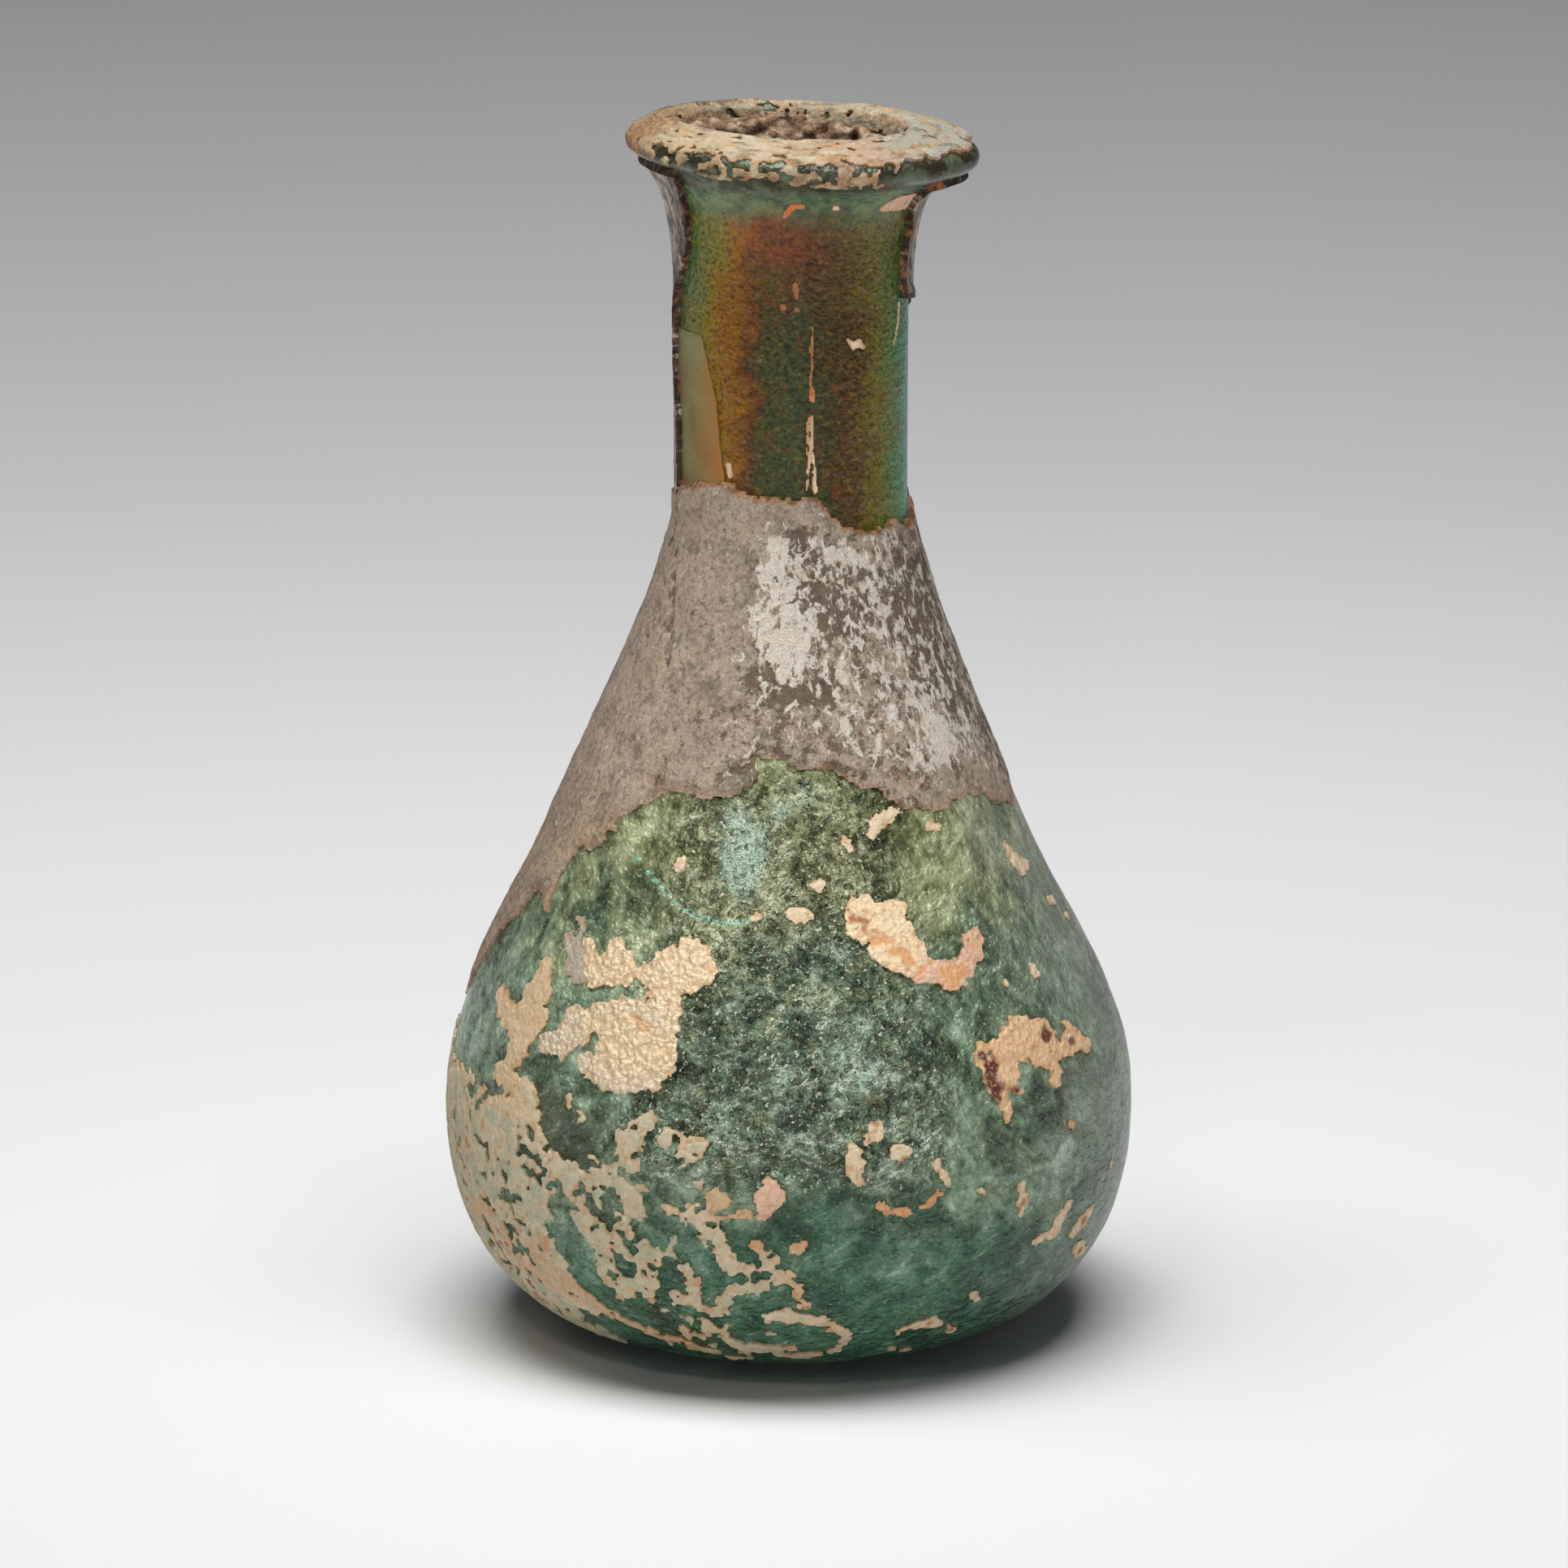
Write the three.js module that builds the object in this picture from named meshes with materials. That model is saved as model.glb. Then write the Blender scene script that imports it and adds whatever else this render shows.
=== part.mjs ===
// A Roman unguentarium: a free-blown glass flask for scented oil, with a low
// pear-shaped body, a straight neck and a folded lip. It is one hollow piece of
// glass. What time has done to it belongs to the same piece: a clay-hard crust
// round the shoulder and a peeling skin on the sides and back of the neck.
//
// Millimetres, +Z up. The foot stands on Z = 0 with the belly's axis on the Z
// axis, and -Y is the front, where the skin has come off the neck.

import * as THREE from "three";

// ---- Driving dimensions ---------------------------------------------------

const HEIGHT = 100.6; // table to the crest of the rim
const SEGMENTS = 60; // facets round the flask

const foot = { radius: 12, ringInner: 8, kick: 1.1 }; // flat ring round a pushed-in middle
const belly = { radius: 28.4, height: 18.4, heelPull: 9, lowerPull: 12.4, upperPull: 9.8 };
const cone = { radius: 19.75, height: 42, slope: 0.38, lowerPull: 5.2, upperPull: 2, neckPull: 3.3 };
const neck = { radius: 9.35, foot: 68.6, flare: 86.5 };
const flareTop = { radius: 10.8, height: 95.6 };
const rim = { crest: 10, lip: 13.3, roll: 0.95, height: 98.6, funnel: 94 };
const wall = { floor: 3.4, belly: 2.1, cone: 1.9, neck: 1.9 };

// How far the blower's hand strayed from a true round.
const stray = {
  belly: 0.1, // the belly is this much out of round, wider along X
  waist: -0.25, // the cone above the belly is pulled this far to -X
  neck: 0.22, // the neck stands this far to +X
  lip: 0.85, // the lip is folded wider on +X
  rimTilt: THREE.MathUtils.degToRad(3), // and dips towards +X
};

// The weathered layers that stand on the glass. A station is [azimuth, height]:
// azimuth runs in degrees from the front (-Y) towards +X.
const crust = {
  thickness: 0.35,
  edge: 0.9, // its edges fade out over this height
  top: [[-180, 70.6], [-135, 72], [-84, 70], [-40, 72], [-2, 71.2], [10, 71.4], [20, 69], [40, 67.8], [60, 68.6], [84, 67.8], [130, 69.6]],
  foot: [[-180, 42.6], [-150, 35.6], [-115, 27], [-86, 29], [-74, 35.6], [-58, 42.4], [-34, 47.8], [-12, 48.4], [-4, 51], [12, 50], [32, 47], [60, 46.4], [84, 44.4], [115, 48.4], [150, 46.6]],
};
const skin = {
  thickness: 0.45,
  edge: 8, // degrees of azimuth over which its torn edges fade out
  leftEdge: -66, // where it starts on the -X side
  rightEdge: 74, // and on the +X side
  rightHem: 87, // on the +X side it has broken off below this height
  top: 95.5,
};

// ---- Helpers --------------------------------------------------------------

const { lerp, smoothstep, degToRad, radToDeg, euclideanModulo } = THREE.MathUtils;
const at = (radius, height) => new THREE.Vector2(radius, height);

// A stretch of profile: a cubic from start to end, pulled by its two handles.
function stretch(start, startHandle, endHandle, end, steps) {
  return new THREE.CubicBezierCurve(start, startHandle, endHandle, end).getPoints(steps);
}

// The height of a wavy line round the flask, through stations that close on
// themselves, at one azimuth.
function lineHeight(stations, azimuth) {
  const turned = stations[0][0] + euclideanModulo(azimuth - stations[0][0], 360);
  const next = stations.findIndex(([a]) => a > turned);
  const end = next < 0 ? [stations[0][0] + 360, stations[0][1]] : stations[next];
  const start = stations[next < 0 ? stations.length - 1 : next - 1];
  return lerp(start[1], end[1], smoothstep(turned, start[0], end[0]));
}

// ---- The profile, from the middle of the foot over the lip to the floor ----

// The wall of the body, inset from the outside by a thickness that differs from
// place to place; the outside itself has an inset of 0 everywhere.
function bodyWall(inset, floor, steps) {
  const start = at(foot.radius - inset.belly, floor);
  const widest = at(belly.radius - inset.belly, belly.height);
  const waist = at(cone.radius - inset.cone, cone.height);
  const neckFoot = at(neck.radius - inset.neck, neck.foot);
  const alongCone = at(-cone.slope, 1);
  return [
    ...stretch(
      start,
      at(start.x + belly.heelPull, floor),
      at(widest.x, widest.y - Math.min(belly.lowerPull, widest.y - floor - 3)),
      widest,
      steps,
    ),
    ...stretch(
      widest,
      at(widest.x, widest.y + belly.upperPull),
      waist.clone().addScaledVector(alongCone, -cone.lowerPull),
      waist,
      steps,
    ).slice(1),
    ...stretch(
      waist,
      waist.clone().addScaledVector(alongCone, cone.upperPull),
      at(neckFoot.x, neckFoot.y - cone.neckPull),
      neckFoot,
      steps,
    ).slice(1),
  ];
}

function footProfile() {
  const steps = 4;
  const kicked = Array.from({ length: steps }, (_, i) => {
    const share = i / steps;
    return at(share * foot.ringInner, foot.kick * (1 - share ** 2));
  });
  return [...kicked, at(foot.ringInner, 0)];
}

// The straight outside of the neck, with a ring wherever a weathered edge starts
// or ends.
function neckProfile() {
  const rings = [neck.foot + crust.edge, 71.4, 73, 79, 85.6];
  return rings.map((height) => at(neck.radius, height));
}

// The neck flares into a lip that was folded out, pressed flat and slopes down
// to a rounded edge; inside, it falls over the crest into the bore.
function rimProfile() {
  const bore = neck.radius - wall.neck;
  const flareStart = at(neck.radius, neck.flare);
  const flareEnd = at(flareTop.radius, flareTop.height);
  const roll = new THREE.EllipseCurve(rim.lip, rim.height, rim.roll, rim.roll, degToRad(-80), degToRad(75));
  return [
    ...stretch(flareStart, at(neck.radius, neck.flare + 4.5), at(9.8, flareEnd.y - 2), flareEnd, 6),
    at(12, flareEnd.y + 1.4),
    ...roll.getPoints(6),
    at(12, HEIGHT - 0.45),
    at(rim.crest, HEIGHT),
    at(9.4, HEIGHT - 0.4),
    ...stretch(at(9, HEIGHT - 1.4), at(8.5, HEIGHT - 3.6), at(bore, rim.funnel), at(bore, neck.flare + 1), 4),
  ];
}

function wholeProfile() {
  const outside = bodyWall({ belly: 0, cone: 0, neck: 0 }, 0, 10);
  const inside = bodyWall(wall, wall.floor, 6).reverse();
  return [...footProfile(), ...outside, ...neckProfile(), ...rimProfile(), ...inside, at(0, wall.floor + 0.5)];
}

// ---- The hand of the blower, and the weather ------------------------------

// Where the axis has drifted to at a height.
function axisDrift(z) {
  const toWaist = stray.waist * smoothstep(z, belly.height, cone.height);
  return lerp(toWaist, stray.neck, smoothstep(z, cone.height, neck.foot));
}

// How much thicker the weathered layers make the flask at one place outside.
function layerAt(azimuth, z) {
  const overFoot = smoothstep(z, lineHeight(crust.foot, azimuth), lineHeight(crust.foot, azimuth) + crust.edge);
  const underTop = 1 - smoothstep(z, lineHeight(crust.top, azimuth) - crust.edge, lineHeight(crust.top, azimuth));
  const onLeft = smoothstep(-azimuth, -skin.leftEdge, -skin.leftEdge + skin.edge);
  const onRight = smoothstep(azimuth, skin.rightEdge, skin.rightEdge + skin.edge);
  const overHem = azimuth > 0 && azimuth < 150 ? smoothstep(z, skin.rightHem - 1, skin.rightHem) : 1;
  const onNeck = smoothstep(z, neck.foot, neck.foot + crust.edge) * (1 - smoothstep(z, skin.top - 1, skin.top));
  return Math.max(crust.thickness * overFoot * underTop, skin.thickness * Math.max(onLeft, onRight) * overHem * onNeck);
}

// Moves every point of the true round to where the blown one has it.
function shapeByHand(geometry, pointsPerRing, outsideEnd) {
  const position = geometry.getAttribute("position");
  const point = new THREE.Vector3();
  for (let i = 0; i < position.count; i++) {
    point.fromBufferAttribute(position, i);
    const radius = Math.hypot(point.x, point.y);
    const turn = Math.atan2(point.x, -point.y);
    const nearRim = smoothstep(point.z, neck.flare, rim.height);
    const onBelly = smoothstep(radius, foot.radius, belly.radius);
    const onLip = smoothstep(radius, flareTop.radius, rim.lip);
    const outside = i % pointsPerRing < outsideEnd && point.z > 0;
    const grown = radius
      - stray.belly * onBelly * Math.cos(2 * turn)
      + (outside ? layerAt(radToDeg(turn), point.z) : 0);
    point.set(
      grown * Math.sin(turn) + axisDrift(point.z) + stray.lip * nearRim * onLip,
      -grown * Math.cos(turn),
      point.z - Math.tan(stray.rimTilt) * point.x * nearRim,
    );
    position.setXYZ(i, point.x, point.y, point.z);
  }
}

// ---- The piece ------------------------------------------------------------

function glassFlask() {
  const profile = wholeProfile();
  const geometry = new THREE.LatheGeometry(profile, SEGMENTS);
  geometry.rotateX(Math.PI / 2);
  const outsideEnd = profile.findIndex((p) => p.y === HEIGHT);
  shapeByHand(geometry, profile.length, outsideEnd);
  geometry.computeVertexNormals();
  const glass = new THREE.MeshStandardMaterial({ color: 0x35594a, roughness: 0.3, metalness: 0 });
  const mesh = new THREE.Mesh(geometry, glass);
  mesh.name = "flask";
  return mesh;
}

const unguentarium = new THREE.Group();
unguentarium.name = "unguentarium";
unguentarium.add(glassFlask());

export default unguentarium;
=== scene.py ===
"""A weathered Roman unguentarium of blown glass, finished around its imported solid.

The flask is one piece of glass. Thin layers that burial has left on it are cut
from sheets rolled out over its surface: the crust round the shoulder, the skin
peeling from the neck, the flakes and the crust on the belly, the crust on the
lip and the soil in the mouth. Sizes are millimetres and are turned into metres
as a mesh is written. A turn is an angle in degrees from the front (-Y) towards
+X, and a reach is a way in millimetres from the crest of the lip into the mouth.
"""

import itertools
import logging
import math
from collections.abc import Callable, Iterable, Sequence
from dataclasses import dataclass, field
from enum import Enum
from typing import Any

import bmesh
import bpy
import numpy as np
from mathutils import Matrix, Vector, geometry


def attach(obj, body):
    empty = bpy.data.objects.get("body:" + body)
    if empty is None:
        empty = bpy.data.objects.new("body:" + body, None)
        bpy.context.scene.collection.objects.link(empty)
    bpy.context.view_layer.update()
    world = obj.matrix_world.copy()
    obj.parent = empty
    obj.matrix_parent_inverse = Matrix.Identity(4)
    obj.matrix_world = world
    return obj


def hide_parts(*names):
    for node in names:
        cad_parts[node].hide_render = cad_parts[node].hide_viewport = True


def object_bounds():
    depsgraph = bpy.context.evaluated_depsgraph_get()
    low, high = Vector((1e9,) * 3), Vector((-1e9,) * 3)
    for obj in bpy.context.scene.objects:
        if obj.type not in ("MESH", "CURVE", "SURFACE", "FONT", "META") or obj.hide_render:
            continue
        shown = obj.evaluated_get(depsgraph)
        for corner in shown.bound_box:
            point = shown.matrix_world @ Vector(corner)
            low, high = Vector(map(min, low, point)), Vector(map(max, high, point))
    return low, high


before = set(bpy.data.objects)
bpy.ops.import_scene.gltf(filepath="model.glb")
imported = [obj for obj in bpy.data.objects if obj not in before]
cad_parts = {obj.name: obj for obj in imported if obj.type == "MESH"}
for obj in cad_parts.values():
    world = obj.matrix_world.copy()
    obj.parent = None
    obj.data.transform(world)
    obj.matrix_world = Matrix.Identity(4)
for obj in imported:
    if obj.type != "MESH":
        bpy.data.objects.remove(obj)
CAD_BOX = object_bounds()

LOG = logging.getLogger("unguentarium")
METRES = 0.001
MILLIMETRES = 1000.0
BODY = "root"
Colour = tuple[float, float, float, float]


def paint(red: int, green: int, blue: int) -> Colour:
    """Turn a given colour into the linear values that shaders read.

    Args:
        red: Red from 0 to 255.
        green: Green from 0 to 255.
        blue: Blue from 0 to 255.

    Returns:
        The linear colour with full alpha.
    """
    linear = [
        value / 3294.6 if value <= 10 else ((value / 255 + 0.055) / 1.055) ** 2.4
        for value in (red, green, blue)
    ]
    return (linear[0], linear[1], linear[2], 1.0)


def ease(value: Any, low: float, high: float) -> Any:
    """Rise smoothly from 0 at low to 1 at high.

    Args:
        value: A number or an array.
        low: Where the rise starts.
        high: Where it ends.

    Returns:
        The eased number or array.
    """
    share = np.clip((value - low) / (high - low), 0.0, 1.0)
    return share * share * (3.0 - 2.0 * share)


def band(value: np.ndarray, low: float, high: float, fall: float, end: float) -> np.ndarray:
    """Rise smoothly from low to high, then fall away from fall to end.

    Args:
        value: The values.
        low: Where the rise starts.
        high: Where it ends.
        fall: Where the fall starts.
        end: Where it ends.

    Returns:
        A share from 0 to 1 for each value.
    """
    return ease(value, low, high) * ease(end - value, 0.0, end - fall)


def wash(tint: np.ndarray, colour: Any, share: np.ndarray) -> np.ndarray:
    """Wash tints towards a colour.

    Args:
        tint: One row of colour for each place.
        colour: The colour, or one for each place.
        share: How far each is washed, from 0 to 1.

    Returns:
        The washed tints.
    """
    return tint + (np.asarray(colour) - tint) * share[:, None]


def scatter(cells: np.ndarray, salt: int) -> np.ndarray:
    """Give every cell of a grid its own even number from 0 to 1.

    Args:
        cells: Whole numbers, three to a cell.
        salt: Picks another set of numbers.

    Returns:
        One number for each cell.
    """
    mixed = cells[:, 0] * 73856093 ^ cells[:, 1] * 19349663 ^ cells[:, 2] * 83492791
    mixed = (mixed ^ salt * 668265263) & 0xFFFFFFFF
    mixed = (mixed ^ mixed >> 15) * 73244475 & 0xFFFFFFFF
    mixed = (mixed ^ mixed >> 13) * 73244475 & 0xFFFFFFFF
    return (mixed >> 8) / 0xFFFFFF


def waves(points: np.ndarray) -> np.ndarray:
    """Sample an even noise, one wave to a unit, mostly from -1 to 1.

    Args:
        points: One row of x, y and z for each sample.

    Returns:
        One value for each point.
    """
    base = np.floor(points).astype(np.int64)
    within = points - base
    faded = within ** 3 * (within * (within * 6 - 15) + 10)
    total = np.zeros(len(points))
    for corner in itertools.product((0, 1), repeat=3):
        cells = base + corner
        slopes = np.stack([scatter(cells, salt) * 2 - 1 for salt in (1, 2, 3)], axis=-1)
        weight = np.prod(np.where(corner, faded, 1 - faded), axis=-1)
        total += weight * np.sum(slopes * (within - corner), axis=-1)
    return total * 1.7


def nearest_middles(points: np.ndarray) -> np.ndarray:
    """Find the middle of the chip each point belongs to, one chip to a unit.

    Args:
        points: One row of x, y and z for each point.

    Returns:
        One row for each middle.
    """
    base = np.floor(points).astype(np.int64)
    nearest = np.full(len(points), 99.0)
    found = points.copy()
    for step in itertools.product((-1, 0, 1), repeat=3):
        cells = base + step
        middles = cells + np.stack([scatter(cells, salt) for salt in (4, 5, 6)], axis=-1)
        away = np.sum((middles - points) ** 2, axis=-1)
        closer = away < nearest
        nearest[closer] = away[closer]
        found[closer] = middles[closer]
    return found


# ---- The flask's form -------------------------------------------------------


@dataclass
class FlaskForm:
    """The blown shape: the outline of the wall and where the hand strayed from it."""

    belly_radius: float
    crest_height: float
    oval: float
    foot_radius: float = 12.0
    ring_inner: float = 8.0
    kick: float = 1.1
    belly_height: float = 18.4
    cone: tuple[float, float] = (19.75, 42.0)
    cone_slope: float = 0.38
    neck: tuple[float, float] = (9.35, 68.6)
    flare_start: float = 86.5
    flare_top: tuple[float, float] = (10.8, 95.6)
    crest_radius: float = 10.0
    lip: tuple[float, float] = (13.3, 98.6)
    lip_roll: float = 0.95
    floor: float = 3.4
    belly_wall: float = 2.1
    cone_wall: float = 1.9
    neck_wall: float = 1.9
    waist_stray: float = -0.25
    neck_stray: float = 0.22
    lip_stray: float = 0.85
    rim_tilt: float = math.radians(3.0)
    ends: dict[str, float] = field(default_factory=dict)
    line: list[Vector] = field(default_factory=list)
    walked: np.ndarray = field(default_factory=lambda: np.zeros(0))

    @classmethod
    def from_frame(cls, low: Vector, high: Vector) -> "FlaskForm":
        """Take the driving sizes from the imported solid's box.

        Args:
            low: The box's lowest corner in metres.
            high: The box's highest corner in metres.

        Returns:
            The form that fits the box.
        """
        across = (high.x - low.x) / 2 * MILLIMETRES
        deep = (high.y - low.y) / 2 * MILLIMETRES
        rise = cls.crest_radius * math.tan(cls.rim_tilt)
        return cls(
            belly_radius=(across + deep) / 2,
            crest_height=high.z * MILLIMETRES - rise,
            oval=(across - deep) / 2,
        )

    def __post_init__(self) -> None:
        """Draw the outline, stretch by stretch, and measure along it."""
        for name, points in self._stretches().items():
            self.line += points[1:] if self.line else points
            self.ends[name] = float(len(self.line) - 1)
        steps = [(b - a).length for a, b in itertools.pairwise(self.line)]
        self.walked = np.concatenate([[0.0], np.cumsum(steps)])
        self.ends = {name: float(self.walked[int(i)]) for name, i in self.ends.items()}
        self._radii = np.array([point.x for point in self.line])
        self._heights = np.array([point.y for point in self.line])
        outside = self.walked <= self.ends["flare"]
        self._outer_heights = self._heights[outside]
        self._outer_walked = self.walked[outside]

    def _body(self, inset: tuple[float, float, float], floor: float) -> dict[str, list[Vector]]:
        """Draw the wall from the foot to the neck's foot.

        Args:
            inset: How far inside the outer skin it runs at belly, cone and neck.
            floor: The height at which it starts.

        Returns:
            The heel, the shoulder and the cone, each as a list of points.
        """
        start = Vector((self.foot_radius - inset[0], floor))
        widest = Vector((self.belly_radius - inset[0], self.belly_height))
        waist = Vector((self.cone[0] - inset[1], self.cone[1]))
        neck = Vector((self.neck[0] - inset[2], self.neck[1]))
        along = Vector((-self.cone_slope, 1.0))
        drop = min(12.4, widest.y - floor - 3)
        return {
            "heel": curve(start, start + Vector((9.0, 0)), widest - Vector((0, drop)), widest),
            "shoulder": curve(widest, widest + Vector((0, 9.8)), waist - along * 5.2, waist),
            "cone": curve(waist, waist + along * 2.0, neck - Vector((0, 3.3)), neck),
        }

    def _stretches(self) -> dict[str, list[Vector]]:
        """Draw the whole section from the middle of the foot round to the floor.

        Returns:
            The stretches in order, by name.
        """
        top, roll = self.crest_height, self.lip_roll
        bore = self.neck[0] - self.neck_wall
        flare_end = Vector(self.flare_top)
        flare_start = Vector((self.neck[0], self.flare_start))
        sweep = [math.radians(-80 + 155 * i / 16) for i in range(17)]
        edge = [Vector(self.lip) + roll * Vector((math.cos(a), math.sin(a))) for a in sweep]
        kicked = [i / 8 for i in range(9)]
        inner = self._body((self.belly_wall, self.cone_wall, self.neck_wall), self.floor)
        funnel_top = Vector((9.0, top - 1.4))
        bore_top = Vector((bore, self.flare_start + 1))
        return {
            "kick": [Vector((s * self.ring_inner, self.kick * (1 - s * s))) for s in kicked],
            "ring": straight((self.ring_inner, 0), (self.foot_radius, 0)),
            **self._body((0, 0, 0), 0.0),
            "neck": straight(self.neck, flare_start),
            "flare": curve(
                flare_start,
                flare_start + Vector((0, 4.5)),
                Vector((9.8, flare_end.y - 2)),
                flare_end,
            ),
            "underlip": [*straight(flare_end, (12.0, flare_end.y + 1.4)), edge[0]],
            "lip": edge,
            "slope": straight(edge[-1], (12.0, top - 0.45)),
            "crest": straight((12.0, top - 0.45), (self.crest_radius, top)),
            "brim": [*straight((self.crest_radius, top), (9.4, top - 0.4)), funnel_top],
            "funnel": curve(funnel_top, Vector((8.5, top - 3.6)), Vector((bore, 94)), bore_top),
            "bore": straight(bore_top, inner["cone"][-1]),
            "inner_cone": inner["cone"][::-1],
            "inner_shoulder": inner["shoulder"][::-1],
            "inner_heel": inner["heel"][::-1],
            "floor": straight(inner["heel"][0], (0, self.floor + 0.5)),
        }

    def arc_at(self, heights: Any) -> Any:
        """Find how far along the outside a height lies.

        Args:
            heights: Heights on the outside, up to the lip.

        Returns:
            The ways along the outline.
        """
        start = int(np.searchsorted(self._outer_walked, self.ends["ring"]))
        return np.interp(heights, self._outer_heights[start:], self._outer_walked[start:])

    def section(self, arcs: Any) -> tuple[Any, Any, Any, Any]:
        """Read the section at ways along the outline.

        Args:
            arcs: Ways along the outline.

        Returns:
            Radius, height, and the outward normal's radial and upward parts.
        """
        radii = np.interp(arcs, self.walked, self._radii)
        heights = np.interp(arcs, self.walked, self._heights)
        reach = 0.2
        run = np.interp(arcs + reach, self.walked, self._radii)
        run = run - np.interp(arcs - reach, self.walked, self._radii)
        rise = np.interp(arcs + reach, self.walked, self._heights)
        rise = rise - np.interp(arcs - reach, self.walked, self._heights)
        length = np.maximum(np.hypot(run, rise), 1e-6)
        return radii, heights, rise / length, -run / length

    def place(self, turns: np.ndarray, arcs: np.ndarray, lift: Any = 0.0) -> np.ndarray:
        """Find the points that stand over places on the blown surface.

        Args:
            turns: Turns in degrees.
            arcs: Ways along the outline.
            lift: How far the points stand off the surface.

        Returns:
            One row of x, y and z in millimetres for each place.
        """
        radii, heights, out, up = self.section(arcs)
        return self.by_hand(radii, heights, np.radians(turns), out * lift, up * lift)

    def by_hand(self, radii: Any, heights: Any, turns: Any, out: Any = 0.0, up: Any = 0.0) -> np.ndarray:
        """Move points of the true round to where the blown one has them.

        Args:
            radii: Their distances from the axis.
            heights: Their heights.
            turns: Their turns in radians.
            out: How far they stand off outwards.
            up: How far they stand off upwards.

        Returns:
            One row of x, y and z for each point.
        """
        near_rim = ease(heights, self.flare_start, self.lip[1])
        on_belly = ease(radii, self.foot_radius, self.belly_radius)
        on_lip = ease(radii, self.flare_top[0], self.lip[0])
        waist = self.waist_stray * ease(heights, self.belly_height, self.cone[1])
        to_neck = ease(heights, self.cone[1], self.neck[1])
        drift = waist * (1 - to_neck) + self.neck_stray * to_neck
        dip = math.tan(self.rim_tilt) * radii * np.sin(turns) * near_rim
        grown = radii - self.oval * on_belly * np.cos(2 * turns) + out
        return np.stack(
            [
                grown * np.sin(turns) + drift + self.lip_stray * near_rim * on_lip,
                -grown * np.cos(turns),
                heights - dip + up,
            ],
            axis=-1,
        )


def curve(start: Vector, pull: Vector, end_pull: Vector, end: Vector, steps: int = 40) -> list[Vector]:
    """Draw a cubic stretch of outline.

    Args:
        start: Where it starts.
        pull: The handle of its start.
        end_pull: The handle of its end.
        end: Where it ends.
        steps: How many points it gets.

    Returns:
        The points.
    """
    points = geometry.interpolate_bezier(start, pull, end_pull, end, steps)
    return [Vector((point.x, point.y)) for point in points]


def straight(start: Sequence[float], end: Sequence[float]) -> list[Vector]:
    """Draw a straight stretch of outline from start to end."""
    return [Vector((start[0], start[1])), Vector((end[0], end[1]))]


# ---- Brushed patches --------------------------------------------------------


class Tone(Enum):
    """The colours that burial has given the thin layers."""

    GILT = paint(231, 207, 169)
    PEARL = paint(218, 202, 174)
    CREAM = paint(216, 196, 164)
    BEIGE = paint(200, 174, 138)
    PINK = paint(216, 176, 150)
    EMBER = paint(206, 100, 50)
    ORANGE = paint(206, 152, 104)
    TAN = paint(224, 184, 142)
    RUST = paint(150, 88, 52)
    SAGE = paint(186, 184, 156)
    GREY = paint(160, 154, 138)
    MAROON = paint(84, 30, 20)
    BROWN = paint(92, 62, 40)


@dataclass(frozen=True)
class Stroke:
    """A brushed patch: turn, way up and half its width at each of its points."""

    points: tuple[tuple[float, float, float], ...]
    tone: Tone = Tone.CREAM


def strokes(tone: Tone, *runs: Sequence[tuple[float, float, float]]) -> tuple[Stroke, ...]:
    """Brush several patches in one tone."""
    return tuple(Stroke(run, tone) for run in runs)


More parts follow.
